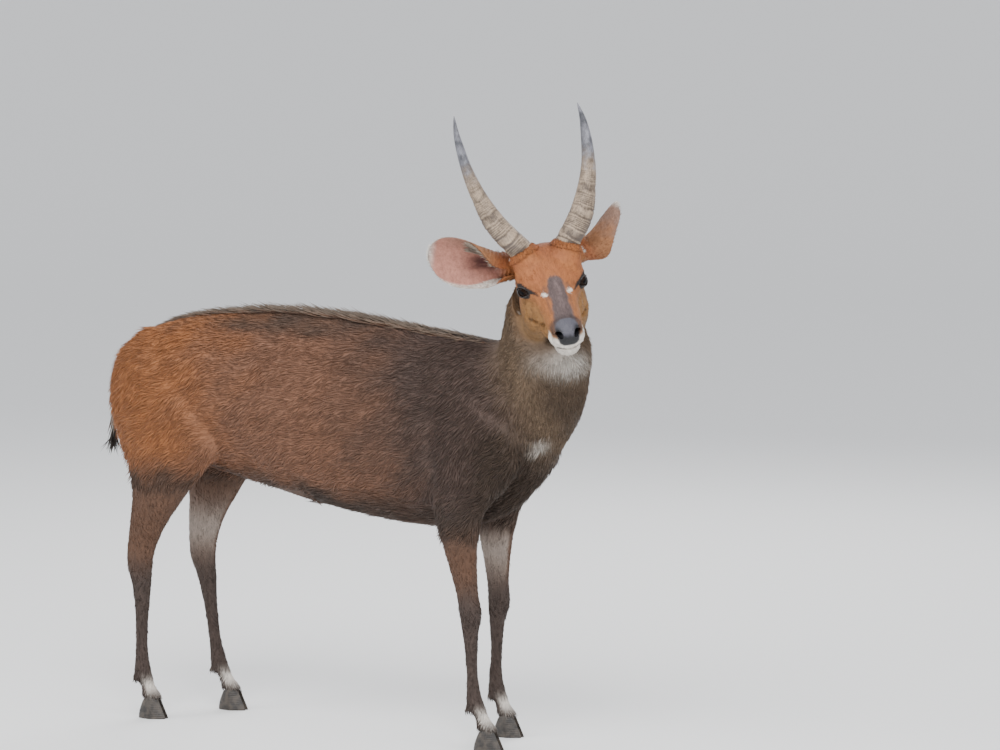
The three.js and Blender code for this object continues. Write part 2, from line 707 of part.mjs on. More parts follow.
function makeFlesh(stalks) {
  const legs = Object.values(LEGS).map(makeLeg);
  const head = toBody(makeHead());
  const whole = joined([makeTrunk(), head, ...stalks, ...legs, ...makeCrest()]);
  const slabs = [1, -1].map((side) => toBody(makeHorn(side, GAP)));
  Object.values(LEGS).forEach((leg) => {
    const [x, y] = leg.rows === FORELEG ? FORELEG.forearmTop : HINDLEG.lowThigh;
    const at = vec(x, leg.side * y, leg.cut);
    slabs.push(plate(at, vec(0, 0, 1), vec(1, 0, 0), vec(260, 2 * y - 2, GAP)));
  });
  const { neckRoot, neckMiddle, throat, insideHead } = TRUNK;
  const rise = neckRoot.top.clone().sub(neckRoot.bottom);
  const rootNormal = new THREE.Vector3().crossVectors(rise, neckRoot.side);
  slabs.push(plate(middleOf(neckRoot), rootNormal, neckRoot.side, vec(290, 290, GAP)));
  const neckWay = middleOf(insideHead).sub(middleOf(neckMiddle)).normalize();
  slabs.push(plate(middleOf(throat), neckWay.add(headTurn(1, 0, 0)), throat.side, vec(200, 330, GAP)));
  return slabs.reduce(cutAway, whole).decompose();
}

// The piece whose box holds a point, the smallest such where boxes nest
function pieceAt(pieces, point) {
  const holds = (solid) => {
    const { min, max } = solid.boundingBox();
    return [0, 1, 2].every((k) => {
      const value = point.getComponent(k);
      return value > min[k] && value < max[k];
    });
  };
  return pieces.filter(holds).sort((a, b) => a.volume() - b.volume())[0];
}

const COLOURS = {
  coat: { color: 0x6f4b33, roughness: 0.85 },
  face: { color: 0xa9683a, roughness: 0.8 },
  neck: { color: 0x6a5a48, roughness: 0.85 },
  legs: { color: 0x3a2c24, roughness: 0.85 },
  ears: { color: 0xa87f6c, roughness: 0.8 },
  horn: { color: 0x6e6558, roughness: 0.5 },
  hoof: { color: 0x1f1b19, roughness: 0.45 },
  eye: { color: 0x140d0a, roughness: 0.08 },
};

function addPiece(parent, name, solid, colour) {
  const material = new THREE.MeshStandardMaterial({ metalness: 0, ...COLOURS[colour] });
  const mesh = new THREE.Mesh(geometryFrom(largest(solid)), material);
  mesh.name = name;
  parent.add(mesh);
  return mesh;
}

function makeBushbuck() {
  const body = new THREE.Group();
  const ears = Object.entries(EARS).map(([name, ear]) => ({ name, ...partEar(ear) }));
  const tail = makeTail();
  const pieces = makeFlesh([tail.stalk, ...ears.map((ear) => ear.stalk)]);
  addPiece(body, "torso", pieceAt(pieces, middleOf(TRUNK.barrel)), "coat");
  addPiece(body, "neck", pieceAt(pieces, middleOf(TRUNK.neckBase)), "neck");
  addPiece(body, "head", pieceAt(pieces, headPoint(60, 0, -10)), "face");
  Object.entries(LEGS).forEach(([name, leg]) => {
    const [x, y, z] = leg.rows.cannon;
    addPiece(body, name, pieceAt(pieces, vec(x + swing(leg, z), leg.side * y, z)), "legs");
  });
  ears.forEach((ear) => addPiece(body, ear.name, ear.leaf, "ears"));
  const head = new THREE.Group();
  HEAD.decompose(head.position, head.quaternion, head.scale);
  body.add(head);
  [["right", -1], ["left", 1]].forEach(([name, side]) => {
    const eye = addPiece(head, "eye_" + name, ball(vec(0, 0, 0), EYE_RADIUS), "eye");
    eye.position.copy(mirrored(EYE_CENTRE, side));
    addPiece(head, "horn_" + name, makeHorn(side), "horn");
  });
  Object.entries(LEGS).forEach(([name, leg]) => {
    const [x, y, z] = leg.rows.coronet;
    ["inner", "outer"].forEach((place, i) => {
      const claw = addPiece(body, "claw_" + name + "_" + place, makeClaw(), "hoof");
      claw.position.set(x + swing(leg, z), leg.side * y + (i ? 1 : -1) * leg.side * CLAW.apart, 0);
    });
  });
  addPiece(body, "tail", tail.leaf, "coat");
  return body;
}

// The origin is on the floor under the middle of the whole animal
const bushbuck = makeBushbuck();
const box = new THREE.Box3().setFromObject(bushbuck, true);
const centre = box.getCenter(vec(0, 0, 0));
bushbuck.position.set(-centre.x, -centre.y, 0);

export default bushbuck;
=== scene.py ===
import math

import bmesh
import bpy
import numpy as np
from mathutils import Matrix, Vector


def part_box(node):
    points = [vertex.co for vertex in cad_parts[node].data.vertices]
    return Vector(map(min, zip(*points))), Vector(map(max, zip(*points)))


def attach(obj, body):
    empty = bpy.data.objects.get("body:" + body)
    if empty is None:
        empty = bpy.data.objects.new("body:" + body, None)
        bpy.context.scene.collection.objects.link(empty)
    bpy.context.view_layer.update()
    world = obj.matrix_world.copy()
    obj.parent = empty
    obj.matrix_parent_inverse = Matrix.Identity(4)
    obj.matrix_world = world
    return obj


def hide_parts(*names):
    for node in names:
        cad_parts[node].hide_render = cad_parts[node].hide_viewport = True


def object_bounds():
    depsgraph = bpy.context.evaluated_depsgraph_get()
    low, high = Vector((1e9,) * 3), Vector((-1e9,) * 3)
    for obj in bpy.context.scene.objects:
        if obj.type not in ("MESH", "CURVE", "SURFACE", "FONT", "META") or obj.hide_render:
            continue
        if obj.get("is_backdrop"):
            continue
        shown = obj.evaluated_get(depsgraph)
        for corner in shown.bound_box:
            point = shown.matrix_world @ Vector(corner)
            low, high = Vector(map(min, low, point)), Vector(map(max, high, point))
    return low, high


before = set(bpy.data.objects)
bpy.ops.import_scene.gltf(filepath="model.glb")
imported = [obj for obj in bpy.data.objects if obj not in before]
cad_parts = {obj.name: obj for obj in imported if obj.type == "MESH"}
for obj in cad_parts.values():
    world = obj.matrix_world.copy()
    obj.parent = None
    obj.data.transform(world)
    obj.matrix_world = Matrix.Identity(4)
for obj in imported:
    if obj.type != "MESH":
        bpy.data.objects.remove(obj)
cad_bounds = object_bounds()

# Stance of the head, and the camera
# Sizes are in millimetres in the animal's own frame, x to the chest, y to its left, z up.
# The head is turned to the animal's right, and the camera stands low before its right side.
HEAD_AT = np.array([190.0, -125.0, 862.0])
HEAD_YAW, HEAD_PITCH, HEAD_ROLL = np.radians([-49.5, 29.2, 11.5])
EYE_CENTRE = np.array([2.0, 45.0, -5.0])
EYE_LOOK = np.array([0.56, 0.80, 0.20])
EYE_RADIUS = 16.5


def unit(v):
    v = np.asarray(v, float)
    return v / np.maximum(np.linalg.norm(v, axis=-1, keepdims=True), 1e-9)


nose_way = np.array(
    [
        math.cos(HEAD_YAW) * math.cos(HEAD_PITCH),
        math.sin(HEAD_YAW) * math.cos(HEAD_PITCH),
        -math.sin(HEAD_PITCH),
    ]
)
level_way = np.array([-math.sin(HEAD_YAW), math.cos(HEAD_YAW), 0.0])
upright_way = np.cross(nose_way, level_way)
left_way = level_way * math.cos(HEAD_ROLL) + upright_way * math.sin(HEAD_ROLL)
crown_way = upright_way * math.cos(HEAD_ROLL) - level_way * math.sin(HEAD_ROLL)
HEAD_AXES = np.array([nose_way, left_way, crown_way])


def from_head(points):
    return HEAD_AT + np.asarray(points, float) @ HEAD_AXES


def to_head(points):
    return (np.asarray(points) - HEAD_AT) @ HEAD_AXES.T


eye_corners = [list(corner) for name in ("eye_left", "eye_right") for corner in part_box(name)]
eyes_middle = np.mean(eye_corners, axis=0) * 1000
SHIFT = eyes_middle - from_head(EYE_CENTRE * [1, 0, 1])


def to_row(points):
    return (np.asarray(points) + SHIFT) / 1000


VIEW_TURN, VIEW_RISE = np.radians([28.86, 5.7])
VIEW_TARGET = np.array([16.57, 0.0, 677.92])
VIEW_DISTANCE = 8000.0
VIEW_LENS = 158.85
view_way = np.array(
    [
        -math.sin(VIEW_TURN) * math.cos(VIEW_RISE),
        math.cos(VIEW_TURN) * math.cos(VIEW_RISE),
        -math.sin(VIEW_RISE),
    ]
)
camera_data = bpy.data.cameras.new("camera")
camera_data.lens = VIEW_LENS
camera_data.sensor_width = 36
camera_data.clip_end = 60
camera = bpy.data.objects.new("camera", camera_data)
camera.location = to_row(VIEW_TARGET - view_way * VIEW_DISTANCE)
camera.rotation_euler = Vector(view_way).to_track_quat("-Z", "Y").to_euler()
bpy.context.scene.collection.objects.link(camera)
bpy.context.scene.camera = camera


# Trunk, neck and legs: flesh under the coat
# A ram has a deep narrow chest, a rounded back and slim legs. Each form is a skin over rings,
# and one fine grid of squares over all of them joins the forms without a seam.
def spaced(values, places):
    """Smooth values at places, where whole numbers are the listed values."""
    values = np.asarray(values, float)
    places = np.asarray(places, float)
    low = np.minimum(np.floor(places).astype(int), len(values) - 2)
    f = (places - low)[:, None]
    a, b, c, d = (values[np.clip(low + k, 0, len(values) - 1)] for k in (-1, 0, 1, 2))
    return b + 0.5 * f * (c - a + f * (2 * a - 5 * b + 4 * c - d + f * (3 * (b - c) + d - a)))


def station(top, bottom, side, half, level=0.5, peak=1.0, keel=1.0):
    return [*top, *bottom, *side, half, level, peak, keel]


def trunk_station(top_x, top_z, low_x, low_z, half, level=0.5, peak=1.0, keel=1.0, y=0.0, yaw=0.0):
    turn = math.radians(yaw)
    side = (-math.sin(turn), math.cos(turn), 0)
    return station((top_x, y, top_z), (low_x, y * 0.8, low_z), side, half, level, peak, keel)


def rings_of(stations, count, steps):
    """Rings of a form whose sections have a top, a bottom and a half width."""
    rows = spaced(stations, np.arange(0, (len(stations) - 1) * steps + 1) / steps)
    turn = np.linspace(0, 2 * math.pi, count, endpoint=False)
    rings = []
    for row in rows:
        top, bottom, side = row[0:3], row[3:6], unit(row[6:9])
        half, level, peak, keel = row[9:]
        rise = np.cos(turn)
        power = np.where(rise > 0, peak, keel)
        across = np.sign(np.sin(turn)) * np.abs(np.sin(turn)) ** power
        waist = bottom + (top - bottom) * level
        end = np.where(rise[:, None] > 0, top, bottom)
        rings.append(waist + (end - waist) * np.abs(rise)[:, None] + side * (half * across)[:, None])
    return np.array(rings)


def loft(rings):
    """A closed skin over rings that have the same number of points."""
    rows, count = rings.shape[:2]
    points = np.concatenate([rings.reshape(-1, 3), rings[:1].mean(1), rings[-1:].mean(1)])
    place = np.arange(rows * count).reshape(rows, count)
    beside = np.roll(place, -1, axis=1)
    walls = np.stack([place[:-1], beside[:-1], beside[1:], place[1:]], -1).reshape(-1, 4)
    first, last = rows * count, rows * count + 1
    ends = [[first, b, a] for a, b in zip(place[0], beside[0])]
    ends += [[last, a, b] for a, b in zip(place[-1], beside[-1])]
    return points, walls.tolist() + ends


def ball(centre, radii, count=32):
    turn = np.linspace(0, 2 * math.pi, count, endpoint=False)
    heights = np.linspace(0.06, math.pi - 0.06, count // 2)
    rings = [
        np.stack([np.sin(h) * np.cos(turn), np.sin(h) * np.sin(turn), np.full(count, math.cos(h))], -1)
        for h in heights
    ]
    return loft(np.array(rings) * radii + centre)


def new_object(name, points, faces):
    mesh = bpy.data.meshes.new(name)
    mesh.from_pydata(to_row(points).tolist(), [], faces)
    mesh.validate()
    piece = bpy.data.objects.new(name, mesh)
    bpy.context.scene.collection.objects.link(piece)
    return piece


def outward(piece):
    """Points every face of a closed piece outwards."""
    shape = bmesh.new()
    shape.from_mesh(piece.data)
    bmesh.ops.recalc_face_normals(shape, faces=shape.faces)
    shape.to_mesh(piece.data)
    shape.free()
    return piece


def joined_forms(name, forms):
    points, faces, start = [], [], 0
    for form_points, form_faces in forms:
        points.append(form_points)
        faces += [[corner + start for corner in face] for face in form_faces]
        start += len(form_points)
    return outward(new_object(name, np.concatenate(points), faces))


def settled(piece):
    """Applies a piece's modifiers to its mesh."""
    bpy.context.view_layer.update()
    graph = bpy.context.evaluated_depsgraph_get()
    mesh = bpy.data.meshes.new_from_object(piece.evaluated_get(graph))
    old = piece.data
    piece.modifiers.clear()
    piece.data = mesh
    bpy.data.meshes.remove(old)
    return piece


def fused(piece, cell):
    """One closed skin over all the forms of a piece, on a grid of squares of a given size."""
    remesh = piece.modifiers.new("fuse", "REMESH")
    remesh.mode = "VOXEL"
    remesh.voxel_size = cell / 1000
    remesh.use_smooth_shade = True
    return settled(piece)


def combined(piece, other, operation):
    """Joins another closed piece to this one, or cuts it away."""
    change = piece.modifiers.new("combine", "BOOLEAN")
    change.operation = operation
    change.solver = "MANIFOLD"
    change.object = other
    settled(piece)
    bpy.data.objects.remove(other)
    return piece


def points_of(piece):
    flat = np.empty(len(piece.data.vertices) * 3)
    piece.data.vertices.foreach_get("co", flat)
    return flat.reshape(-1, 3) * 1000 - SHIFT


def normals_of(piece):
    flat = np.empty(len(piece.data.vertices) * 3)
    piece.data.vertex_normals.foreach_get("vector", flat)
    return flat.reshape(-1, 3)


def set_points(piece, points):
    piece.data.vertices.foreach_set("co", to_row(points).ravel())
    piece.data.update()


def eased(piece, rounds, share=0.5, where=None):
    """Evens out a skin: each point moves part of the way to the middle of its neighbours."""
    ends = np.empty(len(piece.data.edges) * 2, int)
    piece.data.edges.foreach_get("vertices", ends)
    a, b = ends.reshape(-1, 2).T
    points = points_of(piece)
    total = len(points)
    amount = np.bincount(a, minlength=total) + np.bincount(b, minlength=total)
    pull = share if where is None else share * where(points)[:, None]
    for _ in range(rounds):
        middle = np.stack(
            [
                np.bincount(a, points[b, k], total) + np.bincount(b, points[a, k], total)
                for k in range(3)
            ],
            -1,
        ) / np.maximum(amount, 1)[:, None]
        points = points + (middle - points) * pull
    set_points(piece, points)
    return piece


def smooth_step(low, high, value):
    share = np.clip((value - low) / (high - low), 0, 1)
    return share * share * (3 - 2 * share)


THROAT_TOP, THROAT_LOW = from_head([-104, 0, -6]), from_head([-62, 0, -112])
INSIDE_TOP, INSIDE_LOW = from_head([-70, 0, 26]), from_head([-34, 0, -80])
TRUNK = [
    trunk_station(-783, 672, -780, 628, 26),
    trunk_station(-766, 706, -764, 572, 68),
    trunk_station(-722, 738, -716, 520, 100),
    trunk_station(-655, 760, -650, 486, 116, 0.52),
    trunk_station(-575, 771, -572, 468, 117, 0.52, 1.05),
    trunk_station(-490, 777, -490, 450, 118, 0.5, 1.08),
    trunk_station(-400, 778, -402, 430, 124, 0.47, 1.1),
    trunk_station(-310, 774, -312, 413, 128, 0.45, 1.12),
    trunk_station(-220, 767, -220, 400, 126, 0.45, 1.16, 1.05),
    trunk_station(-135, 759, -130, 393, 116, 0.46, 1.24, 1.1),
    trunk_station(-62, 753, -45, 398, 104, 0.47, 1.3, 1.1),
    trunk_station(-18, 748, 38, 424, 96, 0.5, 1.25, 1.05),
    trunk_station(10, 746, 96, 478, 90, 0.52, 1.15),
    trunk_station(28, 752, 138, 540, 84, 0.52, 1.1, 1, -3, -3),
    trunk_station(40, 770, 176, 604, 79, 0.52, 1.05, 1, -10, -8),
    trunk_station(56, 798, 194, 668, 73, 0.52, 1, 1, -22, -15),
    trunk_station(76, 832, 196, 728, 67, 0.52, 1, 1, -38, -24),
    station(THROAT_TOP, THROAT_LOW, unit(np.array([-0.12, 1, 0])) @ HEAD_AXES, 57, 0.55),
    station(INSIDE_TOP, INSIDE_LOW, left_way, 44, 0.5),
]

# Centre x, centre y, height, half length, half width, from the shoulder blade or hip down
CLAW_TOP = 36
FORELEG = [
    [-54, 46, 706, 30, 14],
    [-40, 62, 650, 72, 29],
    [-10, 73, 590, 96, 40],
    [8, 80, 535, 95, 43],
    [-2, 84, 482, 76, 40],
    [-24, 84, 436, 55, 34],
    [-28, 82, 388, 40, 28],
    [-24, 80, 338, 30, 23],
    [-18, 78, 288, 23.5, 20],
    [-13, 77, 248, 23, 21.5],
    [-15, 76, 210, 17, 16],
    [-14, 76, 155, 13.5, 13],
    [-13, 76, 110, 15.5, 14],
    [-9, 76, 84, 19, 17],
    [4, 76, 60, 15.5, 15.5],
    [16, 76, CLAW_TOP, 21, 18.5],
]
HINDLEG = [
    [-676, 40, 742, 44, 18],
    [-674, 60, 700, 90, 38],
    [-664, 72, 645, 116, 48],
    [-654, 79, 585, 122, 49],
    [-640, 83, 525, 112, 45],
    [-645, 83, 472, 82, 38],
    [-662, 81, 420, 57, 30],
    [-682, 79, 368, 41, 23],
    [-694, 78, 322, 33, 18.5],
    [-696, 77, 288, 29, 19],
    [-690, 76, 250, 21.5, 17.5],
    [-686, 76, 195, 16, 14],
    [-683, 76, 140, 14.5, 13],
    [-680, 76, 110, 16.5, 14.5],
    [-676, 76, 84, 19.5, 17],
    [-663, 76, 60, 15.5, 15.5],
    [-651, 76, CLAW_TOP, 21, 18.5],
]
# Rows, side, and how far each foot stands ahead of square
LEGS = {
    "foreleg_right": (FORELEG, -1, 20),
    "foreleg_left": (FORELEG, 1, -26),
    "hindleg_right": (HINDLEG, -1, -42),
    "hindleg_left": (HINDLEG, 1, 46),
}
STANCE_TOP = 560


def leg_form(rows, side, ahead):
    places = spaced(rows, np.arange(0, (len(rows) - 1) * 6 + 1) / 6)
    places[:, 0] += ahead * np.maximum(0, 1 - places[:, 2] / STANCE_TOP)
    places[:, 1] *= side
    turn = np.linspace(0, 2 * math.pi, 28, endpoint=False)
    rings = [
        np.stack([x + long * np.cos(turn), y + wide * np.sin(turn), np.full(28, z)], -1)
        for x, y, z, long, wide in places
    ]
    return loft(np.array(rings))


def dewclaw_form(rows, side, ahead, way):
    x, y, z, long, _ = rows[-3]
    x += ahead * max(0, 1 - z / STANCE_TOP) - long * 0.86
    top = np.array([x + 5, side * y + way * 9.5, z - 2])
    low = np.array([x - 5, side * y + way * 10.5, z - 21])
    return ball((top + low) / 2, np.array([5.5, 5.5, 11.5]), 16)


DOCK = [
    [-752, 0, 704],
    [-790, 0, 693],
    [-814, 0, 655],
    [-822, 0, 600],
    [-824, 0, 550],
    [-825, 0, 507],
]
DOCK_RADIUS = [15, 13, 11, 9, 7, 3.5]


def dock_at(places):
    return spaced(DOCK, np.asarray(places) * (len(DOCK) - 1))


def dock_form():
    places = np.linspace(0, 0.96, 30)
    centres = dock_at(places)
    radii = spaced(np.array(DOCK_RADIUS)[:, None], places * (len(DOCK) - 1))[:, 0]
    along = unit(np.gradient(centres, axis=0))
    turn = np.linspace(0, 2 * math.pi, 16, endpoint=False)
    rings = []
    for centre, radius, way in zip(centres, radii * 0.8, along):
        back = np.cross([0, 1, 0], way)
        ring = centre + np.outer(radius * 1.4 * np.cos(turn), [0, 1, 0])
        rings.append(ring + np.outer(radius * 0.8 * np.sin(turn), back))
    return loft(np.array(rings))


body_forms = [loft(rings_of(TRUNK[:-1], 72, 10)), dock_form()]
for rows, side, ahead in LEGS.values():
    body_forms.append(leg_form(rows, side, ahead))
    body_forms += [dewclaw_form(rows, side, ahead, way) for way in (1, -1)]
skin = fused(joined_forms("skin", body_forms), 5.7)
eased(skin, 5)


# Head: skull, jaw, cheeks, lips and the rims of the eyes
# The bony head is long and narrow, with a high bridge, deep cheeks and a broad soft muzzle.
# It is made on a finer grid than the body, and the small forms are then pushed up or pressed in.
def head_station(u, top, bottom, half, level=0.55, peak=0.9, keel=1.0):
    return station((u, 0, top), (u, 0, bottom), (0, 1, 0), half, level, peak, keel)


SKULL = [
    head_station(-100, -4, -34, 18),
    head_station(-93, 16, -54, 36),
    head_station(-78, 34, -68, 48, 0.56),
    head_station(-56, 45, -78, 55, 0.52),
    head_station(-34, 46, -84, 59, 0.48),
    head_station(-12, 42, -80, 59, 0.5),
    head_station(8, 37, -70, 53.5, 0.56),
    head_station(26, 32, -60, 46.5, 0.56),
    head_station(46, 27, -52, 40.5, 0.54),
    head_station(68, 22.5, -46, 36, 0.5),
    head_station(90, 18, -43, 33, 0.48),
    head_station(112, 13.5, -43, 31.5, 0.44, 0.85),
    head_station(131, 9.5, -43.5, 30, 0.42, 0.8, 0.9),
    head_station(146, 4, -41, 26.5, 0.42, 0.78, 0.85),
    head_station(156, -3, -35, 20, 0.42, 0.8, 0.85),
    head_station(161, -10, -26, 10.5, 0.45),
]
JAW = [
    head_station(-66, -40, -82, 32),
    head_station(-46, -34, -100, 45),
    head_station(-18, -28, -102, 49.5),
    head_station(14, -26, -97, 47),
    head_station(44, -26, -87, 40),
    head_station(72, -28, -77, 33),
    head_station(96, -31, -69, 27),
    head_station(118, -34, -68, 24, 0.45),
    head_station(134, -36, -65, 21, 0.45),
    head_station(145, -39, -58, 14, 0.5),
    head_station(149, -43, -52, 7, 0.5),
]
HORN_SEAT = np.array([-36, 29, 18])
HORN_BASE = np.array([-50, 41, 42])
HORN_RADIUS = 25


def in_body(form):
    return from_head(form[0]), form[1]


def mirrored(point, side):
    return np.asarray(point, float) * [1, side, 1]


def turned_rings(low, high, radii, heights, count=48):
    """Rings round the line from low to high, given by radius and share of the line."""
    way = unit(high - low)
    across = unit(np.cross(way, [1, 0, 0]))
    other = np.cross(way, across)
    turn = np.linspace(0, 2 * math.pi, count, endpoint=False)
    circle = np.outer(np.cos(turn), across) + np.outer(np.sin(turn), other)
    return np.array([low + (high - low) * h + circle * r for r, h in zip(radii, heights)])


def horn_seat_form(side):
    low, high = mirrored(HORN_SEAT, side), mirrored(HORN_BASE, side)
    radii = [HORN_RADIUS + extra for extra in (20, 18, 10.5, 6, 3.5, 0.5)]
    heights = (-0.8, -0.4, 0.0, 0.45, 0.8, 1.02)
    return loft(turned_rings(low, high, radii, heights))


head_forms = [
    loft(rings_of(SKULL, 64, 8)),
    loft(rings_of(JAW, 48, 8)),
]
for side in (1, -1):
    head_forms += [
        ball(mirrored([-10, 41, -56], side), np.array([57, 20, 43])),
        ball(mirrored([34, 31, -30], side), np.array([32, 15.5, 23])),
        ball(mirrored([-22, 33, -96], side), np.array([42, 27, 31])),
        ball(mirrored([-5, 41, -2], side), np.array([29, 20, 23])),
        ball(mirrored([122, 18, -29], side), np.array([27, 14, 17])),
        ball(mirrored(EYE_CENTRE, side), np.array([1, 1, 1]) * (EYE_RADIUS + 2.6)),
        horn_seat_form(side),
    ]
head_forms = [in_body(form) for form in head_forms]
head_forms.append(loft(rings_of(TRUNK[-4:], 96, 16)))
head = fused(joined_forms("head_form", head_forms), 2.6)
eased(head, 5)

# Place and size of each soft form, how far it stands out or in, for both sides of the head
BRUSHES = [
    ((34, 36, -22), (20, 12, 12), 2.0),  # cheek bone below the eye
    ((56, 32, -12), (17, 12, 14), -2.6),  # hollow between the cheek bone and the nose
    ((26, 38, 12), (10, 12, 7), -2.0),  # hollow before the eye
    ((86, 30, -12), (26, 12, 8), 1.4),  # side of the muzzle
    ((104, 33, -48), (12, 10, 9), -2.6),  # corner of the mouth
    ((118, 30, -30), (18, 12, 11), 1.6),  # pad of the upper lip
    ((8, 46, 19), (17, 12, 8), 2.6),  # brow over the eye
    ((-30, 52, 10), (16, 12, 12), -2.6),  # temple
    ((-40, 50, -74), (22, 14, 16), 1.6),  # angle of the jaw
    ((146, 26, -14), (8, 9, 9), 2.0),  # wing of the nostril
    ((136, 0, -67), (18, 18, 9), 1.5),  # chin
]
# Folds of the cheek: the ends of each groove, its width and its depth
FOLDS = [
    ((28, 54, -46), (44, 45, -45), 3.8, 3.2),
    ((44, 45, -45), (68, 31, -40), 3.6, 4.4),
    ((68, 31, -40), (73, 31, -56), 3.6, 4.4),
    ((73, 31, -56), (96, 30, -50), 3.0, 2.4),
    ((22, 50, -20), (46, 38, -6), 4.0, 1.4),
    ((-60, 61, -78), (-16, 56, -112), 4.0, 2.2),
]


def line_off(local, start, end):
    """Distance from a short line."""
    start, end = np.asarray(start, float), np.asarray(end, float)
    line = end - start
    share = np.clip((local - start) @ line / (line @ line), 0, 1)
    return np.linalg.norm(local - start - share[:, None] * line, axis=1)


def brushed(piece):
    points, normals = points_of(piece), normals_of(piece)
    local = to_head(points)
    for centre, reach, amount in BRUSHES:
        for side in (1, -1):
            off = (local - mirrored(centre, side)) / reach
            points = points + normals * (amount * np.exp(-(off**2).sum(1)))[:, None]
            if centre[1] == 0:
                break
    both = local * [1, 0, 1] + np.abs(local) * [0, 1, 0]
    for start, end, wide, deep in FOLDS:
        off = line_off(both, start, end)
        points = points - normals * (deep * np.exp(-((off / wide) ** 2)))[:, None]
        points = points + normals * (0.35 * deep * np.exp(-(((off - 2.2 * wide) / wide) ** 2)))[:, None]
    set_points(piece, points)
    return piece


brushed(head)


# Eye openings, nostrils and the line of the mouth
# The lids close on the eyeball in an almond with a long front corner. The nostrils are commas
# at the sides of the nose pad, and a groove three millimetres deep parts the lips.
def sheet_form(outline, axes, centre, depth):
    """A flat outline given thickness along the third axis."""
    low = centre + np.asarray(outline) @ axes[:2]
    high = low + axes[2] * depth
    return loft(np.array([low, high]))


def almond(front, back, rise, sink, count=24):
    share = np.linspace(0, 1, count, endpoint=False)
    top = np.stack([front[0] + (back[0] - front[0]) * share, np.zeros(count)], -1)
    top[:, 1] = front[1] + (back[1] - front[1]) * share + rise * np.sin(math.pi * share) ** 0.85
    low = np.stack([back[0] + (front[0] - back[0]) * share, np.zeros(count)], -1)
    low[:, 1] = back[1] + (front[1] - back[1]) * share - sink * np.sin(math.pi * share) ** 0.9
    return np.concatenate([top, low])


def eye_axes(side):
    look = unit(mirrored(EYE_LOOK, side))
    forward = unit(np.array([1, 0, 0]) - look * look[0])
    up = np.cross(forward, look) * side
    return np.array([forward, up, look])


EYE_OUTLINE = almond((17, 3.5), (-15.5, -3), 9.5, 10)
for side in (1, -1):
    centre = mirrored(EYE_CENTRE, side)
    opening = in_body(sheet_form(EYE_OUTLINE, eye_axes(side), centre, 40))
    combined(head, outward(new_object("opening", *opening)), "DIFFERENCE")
    globe = in_body(ball(centre, np.array([1, 1, 1]) * (EYE_RADIUS + 0.2), 64))
    combined(head, outward(new_object("globe", *globe)), "DIFFERENCE")


def nostril_form(side):
    outward_way = np.array([0.465, 0.885 * side, 0])
    turn = np.linspace(0, 2 * math.pi, 20, endpoint=False)
    rings = []
    for share in np.linspace(-0.04, 1.0, 14):
        rise = 3.5 * math.sin(math.pi * share) - 9.5
        centre = np.array([156.5 - 21 * share, side * (9.5 + 11.5 * share), rise])
        size = 0.9 + 4.0 * math.sin(math.pi * np.clip(share + 0.04, 0, 1) ** 0.62) ** 0.8
        depth = np.outer(np.cos(turn), outward_way * 6.5)
        height = np.outer(np.sin(turn), [0, 0, size])
        rings.append(centre + depth + height)
    return loft(np.array(rings))


for side in (1, -1):
    combined(head, outward(new_object("nostril", *in_body(nostril_form(side)))), "DIFFERENCE")

MOUTH_LINE = np.array([[98, -47], [108, -46.5], [120, -45.5], [132, -44], [146, -42], [172, -38]])
MOUTH_HALF = 0.9


def mouth_form():
    upper = MOUTH_LINE + [0, MOUTH_HALF]
    lower = (MOUTH_LINE - [0, MOUTH_HALF])[::-1]
    outline = np.concatenate([upper, lower])
    left = np.stack([outline[:, 0], np.full(len(outline), 40.0), outline[:, 1]], -1)
    return loft(np.array([left, left * [1, -1, 1]]))


mouth = outward(new_object("mouth", *in_body(mouth_form())))
mouth_core = rings_of(
    [
        head_station(70, 10, -70, 24),
        head_station(104, 10, -70, 22),
        head_station(128, 10, -70, 20.5),
        head_station(142, 10, -70, 14),
        head_station(148, 10, -70, 5),
    ],
    32,
    6,
)
combined(mouth, outward(new_object("core", *in_body(loft(mouth_core)))), "DIFFERENCE")
combined(head, mouth, "DIFFERENCE")

# Ears: a leaf of gristle and skin rolled into a cup
# The right ear is turned out sideways and shows its pink inside, and the left one stands up.
# Each grows from a thick furred stalk behind the horns.
EARS = {
    "ear_right": (np.array([-80, -34, -14]), np.array([-118, -203, 22]), np.array([0.86, -0.3, 0.3])),
    "ear_left": (np.array([-80, 38, -14]), np.array([-151, 157, 20]), np.array([0.28, 0.415, -0.867])),
}
EAR_THICK = 3.0
EAR_SINK = 7
LEFT_EAR_SHARE = 0.76
EAR_WIDTHS = [[22], [23.5], [26], [32], [41], [46.5], [47.5], [45], [36], [14]]
# Degrees that the leaf wraps round on its front edge and its hind edge, from root to tip
EAR_WRAPS = [
    [168, 168],
    [168, 166],
    [165, 150],
    [150, 100],
    [118, 76],
    [84, 66],
    [62, 58],
    [50, 50],
    [44, 44],
    [40, 40],
]


def ear_axes(root, tip, face):
    along = unit(tip - root)
    opening = unit(face - along * (face @ along))
    return along, opening, np.cross(along, opening)


